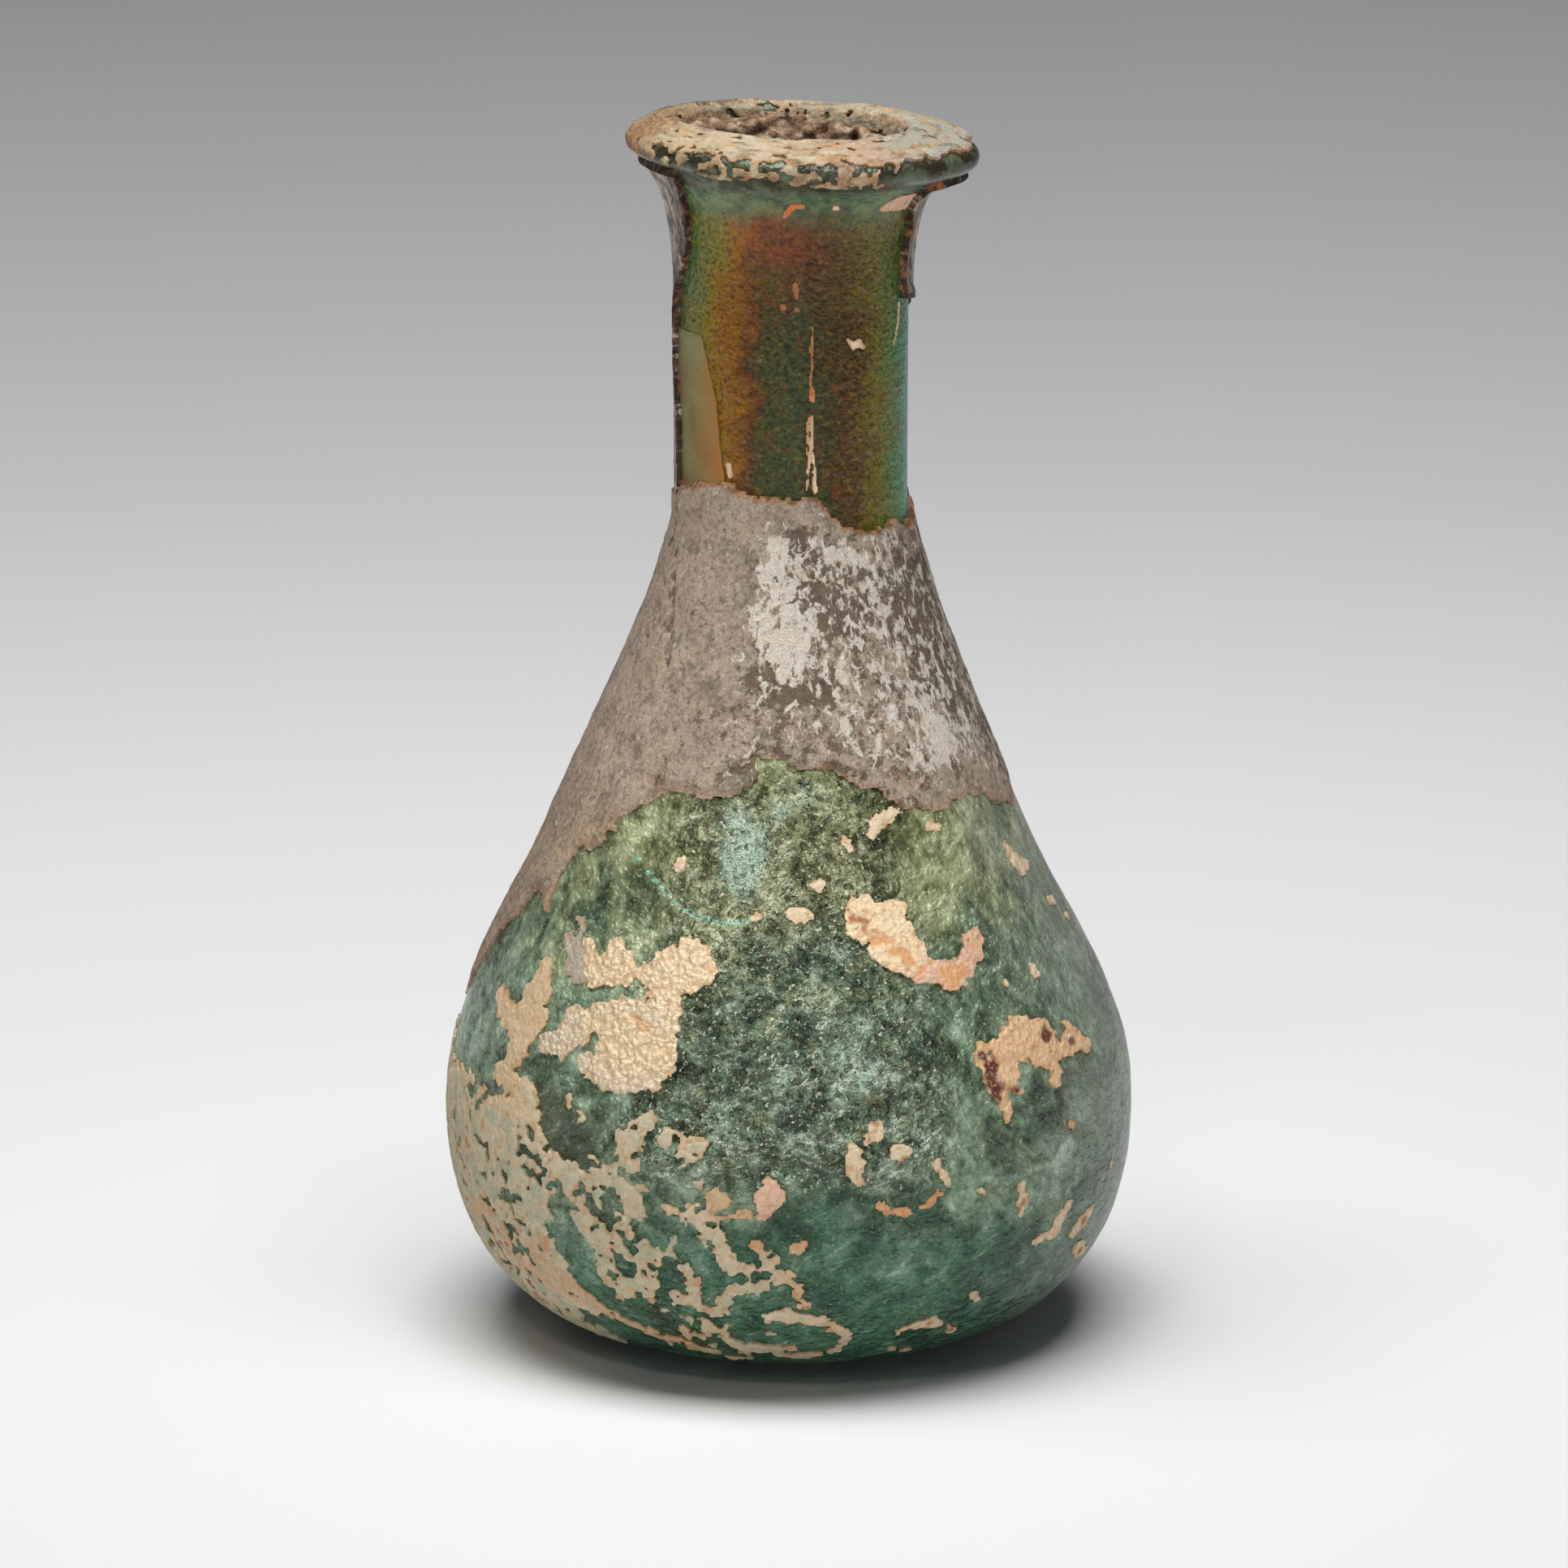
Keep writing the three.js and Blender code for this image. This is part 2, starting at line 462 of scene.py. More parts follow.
@dataclass
class Spots:
    """The places on the flask at which a sheet's corners lie."""

    form: FlaskForm
    turns: np.ndarray
    arcs: np.ndarray

    def __post_init__(self) -> None:
        """Read the section under the places."""
        self.radii, self.heights, self.out, self.up = self.form.section(self.arcs)
        self.points = self.form.place(self.turns, self.arcs)

    def grain(self, size: float, octaves: int = 1, seed: float = 0.0, along: float = 1.0) -> np.ndarray:
        """Sample an even noise at the places.

        Args:
            size: The noise's grain in millimetres.
            octaves: How many finer grains are added.
            seed: Moves the noise to another part of it.
            along: Stretches the grain round the flask by this much.

        Returns:
            One value for each place, mostly from -1 to 1.
        """
        if along == 1.0:
            sampled = self.points
        else:
            sampled = np.stack(
                [np.radians(self.turns) * self.radii / along, self.arcs, self.arcs * 0], axis=-1
            )
        layers = [waves(sampled / size * 2.1 ** i + seed + 7.3 * i) * 0.52 ** i for i in range(octaves)]
        return np.sum(layers, axis=0)

    def chips(self, size: float, seed: float = 0.0) -> tuple[np.ndarray, np.ndarray]:
        """Find the middles of the chips that the places belong to.

        Args:
            size: The size of a chip in millimetres.
            seed: Moves the chips' pattern.

        Returns:
            How far away each middle is, round the flask and along the outline.
        """
        middles = nearest_middles(self.points / size + seed)
        away = (middles - seed) * size - self.points
        turns = np.radians(self.turns)
        round_way = away[:, 0] * np.cos(turns) + away[:, 1] * np.sin(turns)
        outward = away[:, 0] * np.sin(turns) - away[:, 1] * np.cos(turns)
        return round_way, outward * -self.up + away[:, 2] * self.out

    def shifted(self, size: float, share: float, seed: float = 0.0) -> "Spots":
        """Move every place towards the middle of its chip, which makes edges chipped.

        Args:
            size: The size of a chip in millimetres.
            share: How far towards the middle, from 0 to 1.
            seed: Moves the chips' pattern.

        Returns:
            The moved places.
        """
        round_way, along = self.chips(size, seed)
        degrees = np.degrees(round_way / np.maximum(self.radii, 1.0))
        return Spots(self.form, self.turns + degrees * share, self.arcs + along * share)

    def depth(self, marks: Iterable[Stroke]) -> np.ndarray:
        """Measure how many millimetres inside the nearest stroke each place is."""
        return self.depth_and_tone(marks)[0]

    def depth_and_tone(self, marks: Iterable[Stroke]) -> tuple[np.ndarray, np.ndarray]:
        """Measure how deep in its stroke each place is, and blend the strokes' tones.

        Args:
            marks: The strokes.

        Returns:
            Millimetres inside the outlines, less than 0 outside, and a row of colour for
            each place.
        """
        best = np.full(len(self.turns), -99.0)
        weight = np.zeros(len(self.turns))
        tint = np.zeros((len(self.turns), 4))
        for mark in marks:
            ends = [(turn, self.form.arc_at(way), half) for turn, way, half in mark.points]
            pairs = list(itertools.pairwise(ends)) or [(ends[0], ends[0])]
            depth = np.max([self._from_segment(a, b) for a, b in pairs], axis=0)
            share = np.exp(np.clip(depth, -4.0, 3.0) * 3.0)
            tint += share[:, None] * np.array(mark.tone.value)
            weight += share
            best = np.maximum(best, depth)
        return best, tint / weight[:, None]

    def _from_segment(self, a: tuple[float, float, float], b: tuple[float, float, float]) -> np.ndarray:
        """Measure how deep each place is in one segment of a stroke.

        Args:
            a: Turn, way along the outline and half width at its start.
            b: The same at its end.

        Returns:
            Millimetres inside the segment, and less than 0 outside.
        """
        per_degree = math.pi / 180 * self.radii
        x = ((self.turns - a[0] + 180) % 360 - 180) * per_degree
        y = self.arcs - a[1]
        run, rise = (b[0] - a[0]) * per_degree, b[1] - a[1]
        share = np.clip((x * run + y * rise) / np.maximum(run * run + rise * rise, 1e-9), 0, 1)
        return a[2] + (b[2] - a[2]) * share - np.hypot(x - run * share, y - rise * share)

    def line(self, stations: Sequence[tuple[float, float]]) -> np.ndarray:
        """Read a wavy line that closes on itself round the flask.

        Args:
            stations: Turn and height of its corners, in order of turn.

        Returns:
            The line's height at each place.
        """
        return np.interp(self.turns, *zip(*stations), period=360)


# ---- Node boards and shared effects -----------------------------------------

Socket = bpy.types.NodeSocket


class Board:
    """A node tree that nodes are put on and wired."""

    def __init__(self, tree: bpy.types.NodeTree) -> None:
        """Start on a tree.

        Args:
            tree: The tree of a material or a group.
        """
        self.tree = tree

    def put(self, kind: str, inputs: dict[Any, Any] | None = None, **settings: Any) -> bpy.types.Node:
        """Put a node on the board.

        Args:
            kind: The node's type, without its ShaderNode prefix.
            inputs: What goes into its sockets, by name or number: a socket or a value.
            settings: The node's own settings.

        Returns:
            The node.
        """
        node = self.tree.nodes.new("ShaderNode" + kind)
        for name, value in settings.items():
            setattr(node, name, value)
        for name, value in (inputs or {}).items():
            if isinstance(value, Socket):
                self.tree.links.new(value, node.inputs[name])
            else:
                node.inputs[name].default_value = value
        return node

    def maths(self, operation: str, *values: Any, clamp: bool = False) -> Socket:
        """Work out a number from numbers or sockets."""
        inputs = dict(enumerate(values))
        return self.put("Math", inputs, operation=operation, use_clamp=clamp).outputs[0]

    def mix(self, share: Any, low: Any, high: Any) -> Socket:
        """Mix two colours by a share."""
        return self.put("Mix", {0: share, 6: low, 7: high}, data_type="RGBA").outputs[2]

    def stain(self, base: Socket, where: Socket, share: Any, colour: Any) -> Socket:
        """Lay a colour over a base, where a mask is, at most by a share."""
        return self.mix(self.maths("MULTIPLY", where, share), base, colour)

    def blend(self, share: Any, low: Any, high: Any) -> Socket:
        """Mix two numbers by a share."""
        return self.put("Mix", {0: share, 2: low, 3: high}, data_type="FLOAT").outputs[0]

    def step(self, value: Socket, low: float, high: float) -> Socket:
        """Rise smoothly from 0 at low to 1 at high, or fall where low is the larger.

        Args:
            value: What is read.
            low: Where it gives 0.
            high: Where it gives 1.

        Returns:
            The share.
        """
        first, last = (0.0, 1.0) if low < high else (1.0, 0.0)
        inputs = {0: value, 1: min(low, high), 2: max(low, high), 3: first, 4: last}
        return self.put("MapRange", inputs, interpolation_type="SMOOTHSTEP").outputs[0]

    def noise(self, place: Socket, scale: Any, detail: float = 2.0, **inputs: Any) -> Socket:
        """Sample a noise.

        Args:
            place: Where it is sampled.
            scale: How many waves it has in a millimetre.
            detail: How many finer grains it has.
            inputs: More of the node's values, by name in small letters.

        Returns:
            The noise, from 0 to 1.
        """
        values = {"Vector": place, "Scale": scale, "Detail": detail}
        values |= {name.title(): value for name, value in inputs.items()}
        return self.put("TexNoise", values).outputs[0]

    def ramp(self, share: Socket, stops: Sequence[tuple[float, Colour]]) -> Socket:
        """Turn a share into a colour between stops.

        Args:
            share: The share.
            stops: Place and colour of each stop.

        Returns:
            The colour.
        """
        node = self.put("ValToRGB", {0: share})
        elements = node.color_ramp.elements
        for place, _ in stops[2:]:
            elements.new(place)
        for element, (place, colour) in zip(elements, sorted(stops)):
            element.position, element.color = place, colour
        return node.outputs[0]

    def attribute(self, name: str) -> tuple[Socket, Socket]:
        """Read an attribute of the mesh as a colour and as a number."""
        node = self.put("Attribute", attribute_name=name)
        return node.outputs["Color"], node.outputs["Fac"]

    def millimetres(self) -> Socket:
        """Read the place on the object, in millimetres."""
        place = self.put("TexCoord").outputs["Object"]
        return self.put(
            "VectorMath", {0: place, 1: (MILLIMETRES,) * 3}, operation="MULTIPLY"
        ).outputs[0]

    def use(self, group: bpy.types.NodeTree, inputs: dict[str, Any]) -> bpy.types.Node:
        """Put a shared effect on the board."""
        return self.put("Group", inputs, node_tree=group)


Wiring = Callable[[Board, bpy.types.Node], dict[str, Socket]]


def effect(
    name: str, inputs: dict[str, tuple[str, Any]], outputs: dict[str, str], wiring: Wiring
) -> bpy.types.NodeTree:
    """Build a shared effect as a node group.

    Args:
        name: The group's name.
        inputs: Type and starting value of each input, by name.
        outputs: Type of each output, by name.
        wiring: Wires the group and returns what goes out, by name.

    Returns:
        The group.
    """
    tree = bpy.data.node_groups.new(name, "ShaderNodeTree")
    for label, (kind, value) in inputs.items():
        socket = tree.interface.new_socket(label, in_out="INPUT", socket_type="NodeSocket" + kind)
        if kind != "Vector":
            socket.default_value = value
    for label, kind in outputs.items():
        tree.interface.new_socket(label, in_out="OUTPUT", socket_type="NodeSocket" + kind)
    board = Board(tree)
    source = tree.nodes.new("NodeGroupInput")
    sink = tree.nodes.new("NodeGroupOutput")
    for label, socket in wiring(board, source).items():
        tree.links.new(socket, sink.inputs[label])
    return tree


class Effects:
    """The effects that several finishes share."""

    def __init__(self) -> None:
        """Build every effect once."""
        self.mottle = effect(
            "mottle",
            {
                "Place": ("Vector", None),
                "Scale": ("Float", 1.0),
                "Low": ("Color", paint(60, 60, 60)),
                "Middle": ("Color", paint(128, 128, 128)),
                "High": ("Color", paint(200, 200, 200)),
                "Contrast": ("Float", 2.0),
            },
            {"Color": "Color"},
            self._mottle,
        )
        self.pits = effect(
            "pits",
            {"Place": ("Vector", None), "Scale": ("Float", 1.0), "Size": ("Float", 0.2)},
            {"Mask": "Float"},
            self._pits,
        )
        self.grit = effect(
            "grit",
            {"Place": ("Vector", None), "Scale": ("Float", 1.0), "Fine": ("Float", 0.5)},
            {"Height": "Float"},
            self._grit,
        )
        self.worn_edge = effect(
            "worn_edge",
            {"Place": ("Vector", None), "Edge": ("Float", 1.0), "Width": ("Float", 0.3)},
            {"Mask": "Float"},
            self._worn_edge,
        )

    @staticmethod
    def _mottle(board: Board, source: bpy.types.Node) -> dict[str, Socket]:
        """Wire three colours that run into each other in cloudy patches.

        Args:
            board: The group's board.
            source: The group's inputs.

        Returns:
            What goes out, by name.
        """
        place, scale = source.outputs["Place"], source.outputs["Scale"]
        cloud = board.noise(place, scale, 6.0, roughness=0.62, distortion=0.35)
        centred = board.maths("SUBTRACT", cloud, 0.5)
        mask = board.maths("MULTIPLY_ADD", centred, source.outputs["Contrast"], 0.5, clamp=True)
        lower_half = board.maths("MULTIPLY", mask, 2.0, clamp=True)
        low = board.mix(lower_half, source.outputs["Low"], source.outputs["Middle"])
        high = board.maths("MULTIPLY_ADD", mask, 2.0, -1.0, clamp=True)
        return {"Color": board.mix(high, low, source.outputs["High"])}

    @staticmethod
    def _pits(board: Board, source: bpy.types.Node) -> dict[str, Socket]:
        """Wire scattered round pits of uneven size.

        Args:
            board: The group's board.
            source: The group's inputs.

        Returns:
            What goes out, by name.
        """
        place, scale = source.outputs["Place"], source.outputs["Scale"]
        cells = board.put("TexVoronoi", {"Vector": place, "Scale": scale, "Randomness": 1.0})
        chance = board.put("SeparateColor", {0: cells.outputs["Color"]}).outputs[0]
        size = board.maths("MULTIPLY", source.outputs["Size"], board.step(chance, 0.35, 1.0))
        inside = board.maths("SUBTRACT", size, cells.outputs["Distance"])
        return {"Mask": board.maths("MULTIPLY", inside, 9.0, clamp=True)}

    @staticmethod
    def _grit(board: Board, source: bpy.types.Node) -> dict[str, Socket]:
        """Wire a coarse and a fine grain into one height.

        Args:
            board: The group's board.
            source: The group's inputs.

        Returns:
            What goes out, by name.
        """
        place, scale = source.outputs["Place"], source.outputs["Scale"]
        coarse = board.noise(place, scale, 4.0, roughness=0.6)
        fine = board.noise(place, board.maths("MULTIPLY", scale, 4.3), 3.0, roughness=0.7)
        return {"Height": board.maths("MULTIPLY_ADD", fine, source.outputs["Fine"], coarse)}

    @staticmethod
    def _worn_edge(board: Board, source: bpy.types.Node) -> dict[str, Socket]:
        """Wire a ragged band along the broken edge of a layer.

        Args:
            board: The group's board.
            source: The group's inputs.

        Returns:
            What goes out, by name.
        """
        wander = board.noise(source.outputs["Place"], 1.1, 4.0)
        width = board.maths("MULTIPLY", source.outputs["Width"], board.maths("MULTIPLY", wander, 2.0))
        inside = board.maths("DIVIDE", source.outputs["Edge"], board.maths("MAXIMUM", width, 0.01))
        return {"Mask": board.step(inside, 1.0, 0.35)}


class Finish:
    """A material with its Principled shader and the board it is wired on."""

    def __init__(self, name: str, **constants: Any) -> None:
        """Make an empty finish.

        Args:
            name: The material's name.
            constants: Values for the shader's own sockets, with _ for spaces.
        """
        self.material = bpy.data.materials.new(name)
        self.material.use_nodes = True
        self.board = Board(self.material.node_tree)
        self.shader = self.material.node_tree.nodes["Principled BSDF"]
        for label, value in constants.items():
            self.shader.inputs[label.replace("_", " ")].default_value = value

    def feed(self, **sockets: Socket) -> None:
        """Wire sockets into the shader, by name with _ for spaces."""
        for label, socket in sockets.items():
            self.board.tree.links.new(socket, self.shader.inputs[label.replace("_", " ")])

    def bump(self, *heights: tuple[Socket, float]) -> None:
        """Wire heights in millimetres into the shader's normal, coarsest first.

        Args:
            heights: Each height with the depth that its 0 to 1 stands for.
        """
        normal = None
        for height, depth in heights:
            inputs = {"Height": height, "Distance": depth * METRES, "Strength": 1.0}
            if normal is not None:
                inputs["Normal"] = normal
            normal = self.board.put("Bump", inputs).outputs[0]
        self.feed(Normal=normal)


# ---- Finishes ---------------------------------------------------------------


class WeatheredFinish(Finish):
    """A finish that reads its piece's marks and wires the shared effects."""

    def __init__(self, name: str, effects: Effects, **constants: Any) -> None:
        """Make an empty finish with its place in millimetres.

        Args:
            name: The material's name.
            effects: The shared effects.
            constants: Values for the shader's own sockets, with _ for spaces.
        """
        super().__init__(name, **constants)
        self.effects = effects
        self.place = self.board.millimetres()

    def _use(self, group: bpy.types.NodeTree, **inputs: Any) -> Socket:
        """Put a shared effect in its place and read its first output."""
        return self.board.use(group, {"Place": self.place, **inputs}).outputs[0]

    def mottle(self, scale: float, contrast: float, *colours: Colour) -> Socket:
        """Wire cloudy patches of three colours, from the darkest to the lightest."""
        low, middle, high = colours
        return self._use(
            self.effects.mottle, Scale=scale, Contrast=contrast, Low=low, Middle=middle, High=high
        )

    def rim(self, width: float) -> Socket:
        """Wire a ragged band of a width in millimetres along the piece's torn edge."""
        return self._use(self.effects.worn_edge, Edge=self.board.attribute("edge")[1], Width=width)

    def pits(self, scale: float, size: float) -> Socket:
        """Wire round pits, so many a millimetre and of a size in their cells."""
        return self._use(self.effects.pits, Scale=scale, Size=size)

    def grit(self, scale: float, fine: float) -> Socket:
        """Wire a gritty height with a share of fine grain."""
        return self._use(self.effects.grit, Scale=scale, Fine=fine)


class GlassFinish(WeatheredFinish):
    """The finish of the glass: dark mottled green below, with a painted iridescent sheen on the neck."""

    def __init__(self, effects: Effects) -> None:
        """Wire the finish.

        Args:
            effects: The shared effects.
        """
        super().__init__(
            "weathered_glass", effects, IOR=1.5, Transmission_Weight=0.05, Metallic=0.15
        )
        board = self.board
        self.x, self.y, self.z = board.put("SeparateXYZ", {0: self.place}).outputs
        self.rough, self.haze, self.bare, self.crack, self.cloud = (
            board.attribute(name)[1] for name in ("rough", "haze", "bare", "crack", "cloud")
        )
        self.flat = board.put("Mapping", {"Vector": self.place, "Scale": (1.0, 1.0, 1.2)}).outputs[0]
        self.broad = board.noise(self.place, 0.16, 3.0, roughness=0.6, distortion=0.6)
        self.patchy = board.noise(self.place, 0.48, 5.0, roughness=0.6, distortion=0.5)
        self.grainy = board.noise(self.flat, 1.3, 4.0, roughness=0.6)
        self.pebbles = board.noise(self.flat, 1.2, 2.0, roughness=0.5, distortion=0.2)
        self.tiny = board.noise(self.place, 3.0, 3.0, roughness=0.6)

        body = self._painted_shade_and_glints(self._weathering(self._mottled()))
        body = board.mix(board.step(self.z, 60.0, 66.0), body, self._neck())
        lip = board.mix(board.step(self.patchy, 0.42, 0.62), paint(48, 44, 30), paint(88, 98, 76))
        body = board.mix(board.step(self.z, 96.2, 97.0), body, lip)
        self._relief()
        gloss = board.blend(self.haze, board.blend(self.rough, 0.2, 0.11), 0.36)
        uneven = board.maths("MULTIPLY_ADD", board.noise(self.place, 0.9, 4.0), 0.2, -0.1)
        self.feed(Base_Color=body, Roughness=board.maths("ADD", gloss, uneven, clamp=True))

    def _mottled(self) -> Socket:
        """Wire the mottled greens, which grow yellower with height.

        Returns:
            The colour.
        """
        board, rough = self.board, self.rough
        shade = board.maths("MULTIPLY_ADD", self.broad, 0.5, board.maths("MULTIPLY", self.patchy, 0.65))
        grains = board.maths("MULTIPLY", self.grainy, board.blend(rough, 0.2, 0.4))
        shade = board.maths("DIVIDE", board.maths("ADD", shade, grains), board.blend(rough, 1.35, 1.55))
        centred = board.maths("SUBTRACT", shade, 0.5)
        shade = board.maths("MULTIPLY_ADD", centred, board.blend(rough, 2.9, 3.8), 0.5)
        low = board.ramp(shade, [
            (0.1, paint(22, 52, 34)), (0.4, paint(42, 80, 58)), (0.62, paint(64, 104, 80)),
            (0.9, paint(94, 134, 108)),
        ])
        middle = board.ramp(shade, [
            (0.1, paint(24, 34, 20)), (0.36, paint(68, 88, 64)), (0.6, paint(116, 138, 112)),
            (0.9, paint(170, 192, 166)),
        ])
        high = board.ramp(shade, [
            (0.1, paint(42, 44, 22)), (0.36, paint(98, 104, 64)), (0.6, paint(152, 158, 116)),
            (0.9, paint(200, 204, 164)),
        ])
        level = board.maths("MULTIPLY_ADD", self.broad, 26.0, board.maths("SUBTRACT", self.z, 13.0))
        body = board.mix(board.step(level, 12.0, 20.0), low, middle)
        return board.mix(board.step(level, 33.0, 43.0), body, high)

    def _weathering(self, body: Socket) -> Socket:
        """Wire what burial has done: olive stains, haze, bare ovals, milky spots, a crack, and a painted
        window reflection among the milky spots.

        Args:
            body: The colour so far.

        Returns:
            The new colour.
        """
        board, patchy = self.board, self.patchy
        warm = board.noise(self.place, 0.7, 5.0, roughness=0.7)
        olive = board.mix(self.grainy, paint(62, 60, 28), paint(164, 160, 108))
        body = board.stain(body, board.step(warm, 0.5, 0.66), board.blend(self.rough, 0.1, 0.6), olive)
        clouded = board.mix(patchy, paint(120, 134, 120), paint(164, 170, 158))
        body = board.stain(body, self.haze, 0.6, clouded)
        dark = board.mix(patchy, paint(30, 36, 24), paint(72, 72, 46))
        body = board.stain(body, self.bare, 0.75, dark)
        # Painted reflection: the cloud mask also holds a window's reflection on the upper belly, painted
        # pale mint like the milky spots.
        milky_spots_and_reflection = board.mix(patchy, paint(150, 188, 162), paint(212, 230, 208))
        body = board.stain(body, self.cloud, 0.85, milky_spots_and_reflection)
        return board.stain(body, board.step(self.crack, 0.4, 0.95), 0.85, paint(150, 200, 172))

    def _painted_shade_and_glints(self, body: Socket) -> Socket:
        """Wire painted shade in the crevices, painted glints as light flecks, and fine scratches painted
        bright as glints.

        Args:
            body: The colour so far.

        Returns:
            The new colour.
        """
        board, rough = self.board, self.rough
        # Painted shade: the hollows of the pebbles are darkened towards near-black.
        painted_crevice_shade, darker = board.step(self.pebbles, 0.49, 0.36), board.mix(0.3, paint(20, 24, 14), body)
        body = board.stain(body, painted_crevice_shade, board.blend(rough, 0.2, 0.85), darker)
        # Painted glints: tiny near-white flecks stand in for highlights on the pebbled skin.
        painted_glint = board.step(self.tiny, 0.59, 0.67)
        body = board.stain(body, painted_glint, board.blend(rough, 0.15, 0.85), paint(226, 226, 196))
        # Fine scratches, painted pale as glinting lines.
        leaning = board.put("Mapping", {"Vector": self.place, "Rotation": (0.0, 0.5, 0.0)}).outputs[0]
        drawn = board.put("Mapping", {"Vector": leaning, "Scale": (0.1, 0.1, 0.9)}).outputs[0]
        line = board.maths("ABSOLUTE", board.maths("SUBTRACT", board.noise(drawn, 1.0, 2.0), 0.5))
        scratch_glint = board.maths("MULTIPLY", board.step(line, 0.011, 0.004), board.step(self.patchy, 0.5, 0.6))
        return board.stain(body, scratch_glint, board.blend(rough, 0.2, 0.8), paint(222, 224, 204))

    def _relief(self) -> None:
        """Wire the pebbled skin, its fine grain and its pits."""
        board, rough = self.board, self.rough
        streaked = board.put("Mapping", {
            "Vector": self.place, "Rotation": (0.0, -0.28, 0.0), "Scale": (0.4, 0.4, 1.2),
        }).outputs[0]
        creases = board.noise(streaked, 0.8, 3.0, roughness=0.5)
        on_neck = board.step(self.z, 62.0, 68.0)
        pebbled = board.maths("MULTIPLY_ADD", creases, 0.5, self.pebbles)
        pebbled = board.maths("MULTIPLY", pebbled, board.blend(rough, 0.3, 1.0))
        pebbled = board.maths("MULTIPLY", pebbled, board.blend(on_neck, 1.0, 0.26))
        fine = board.maths("MULTIPLY", self.tiny, board.blend(rough, 0.35, 1.0))
        unpitted = board.maths("SUBTRACT", 1.0, self.pits(1.3, 0.3))
        self.bump((pebbled, 2.2), (fine, 0.4), (unpitted, 0.08))

    def _neck(self) -> Socket:
        """Wire the oily colours that lie in upright bands on the neck's front: an iridescent sheen, painted
        into the colour by turn.

        Returns:
            The colour.
        """
        board, place = self.board, self.place
        # Painted sheen: the iridescence is laid into the colour by turn round the front, as bands that fit
        # the front view.
        turn = board.maths("ARCTAN2", self.x, board.maths("MULTIPLY", self.y, -1.0))
        cloud = board.noise(place, 0.3, 5.0, roughness=0.62)
        wander = board.maths("MULTIPLY_ADD", cloud, 0.8, -0.4)
        share = board.maths("MULTIPLY_ADD", board.maths("ADD", turn, wander), 1 / math.pi, 0.5)
        low = board.ramp(share, [
            (0.0, paint(60, 94, 50)), (0.12, paint(98, 110, 30)), (0.24, paint(126, 104, 8)),
            (0.32, paint(134, 86, 6)), (0.38, paint(94, 54, 12)), (0.43, paint(58, 62, 20)),
            (0.53, paint(56, 63, 33)), (0.6, paint(60, 52, 14)), (0.68, paint(78, 52, 12)),
            (0.76, paint(100, 90, 8)), (0.83, paint(84, 104, 30)), (0.9, paint(40, 126, 80)),
            (1.0, paint(70, 150, 158)),
        ])
        high = board.ramp(share, [
            (0.0, paint(20, 98, 86)), (0.18, paint(80, 104, 48)), (0.26, paint(114, 106, 14)),
            (0.34, paint(138, 90, 6)), (0.44, paint(118, 54, 8)), (0.55, paint(88, 50, 10)),
            (0.66, paint(82, 64, 8)), (0.76, paint(96, 90, 10)), (0.84, paint(66, 92, 34)),
            (0.92, paint(36, 124, 100)),
        ])
        level = board.maths("MULTIPLY_ADD", board.noise(place, 0.22, 3.0), 14.0, -7.0)
        colour = board.mix(board.step(board.maths("ADD", self.z, level), 84.0, 93.0), low, high)
        fine = board.noise(place, 2.4, 4.0, roughness=0.7)
        dark = board.mix(0.75, colour, paint(16, 14, 10))
        colour = board.stain(colour, board.step(fine, 0.52, 0.36), 0.85, dark)
        glow = board.mix(0.5, colour, paint(190, 154, 60))
        colour = board.stain(colour, board.step(fine, 0.54, 0.72), 0.5, glow)
        blotch = board.noise(place, 0.75, 4.0, roughness=0.65)
        far = board.mix(board.step(blotch, 0.4, 0.6), paint(46, 60, 40), paint(98, 110, 72))
        colour = board.stain(colour, board.step(share, 0.94, 1.03), 0.94, far)
        colour = board.stain(colour, board.step(blotch, 0.56, 0.68), 0.45, paint(120, 54, 16))
        under_lip = board.step(board.maths("MULTIPLY_ADD", level, 0.25, self.z), 93.0, 96.0)
        teal = board.mix(board.step(blotch, 0.36, 0.64), paint(38, 84, 66), paint(98, 128, 88))
        return board.stain(colour, under_lip, 0.8, teal)


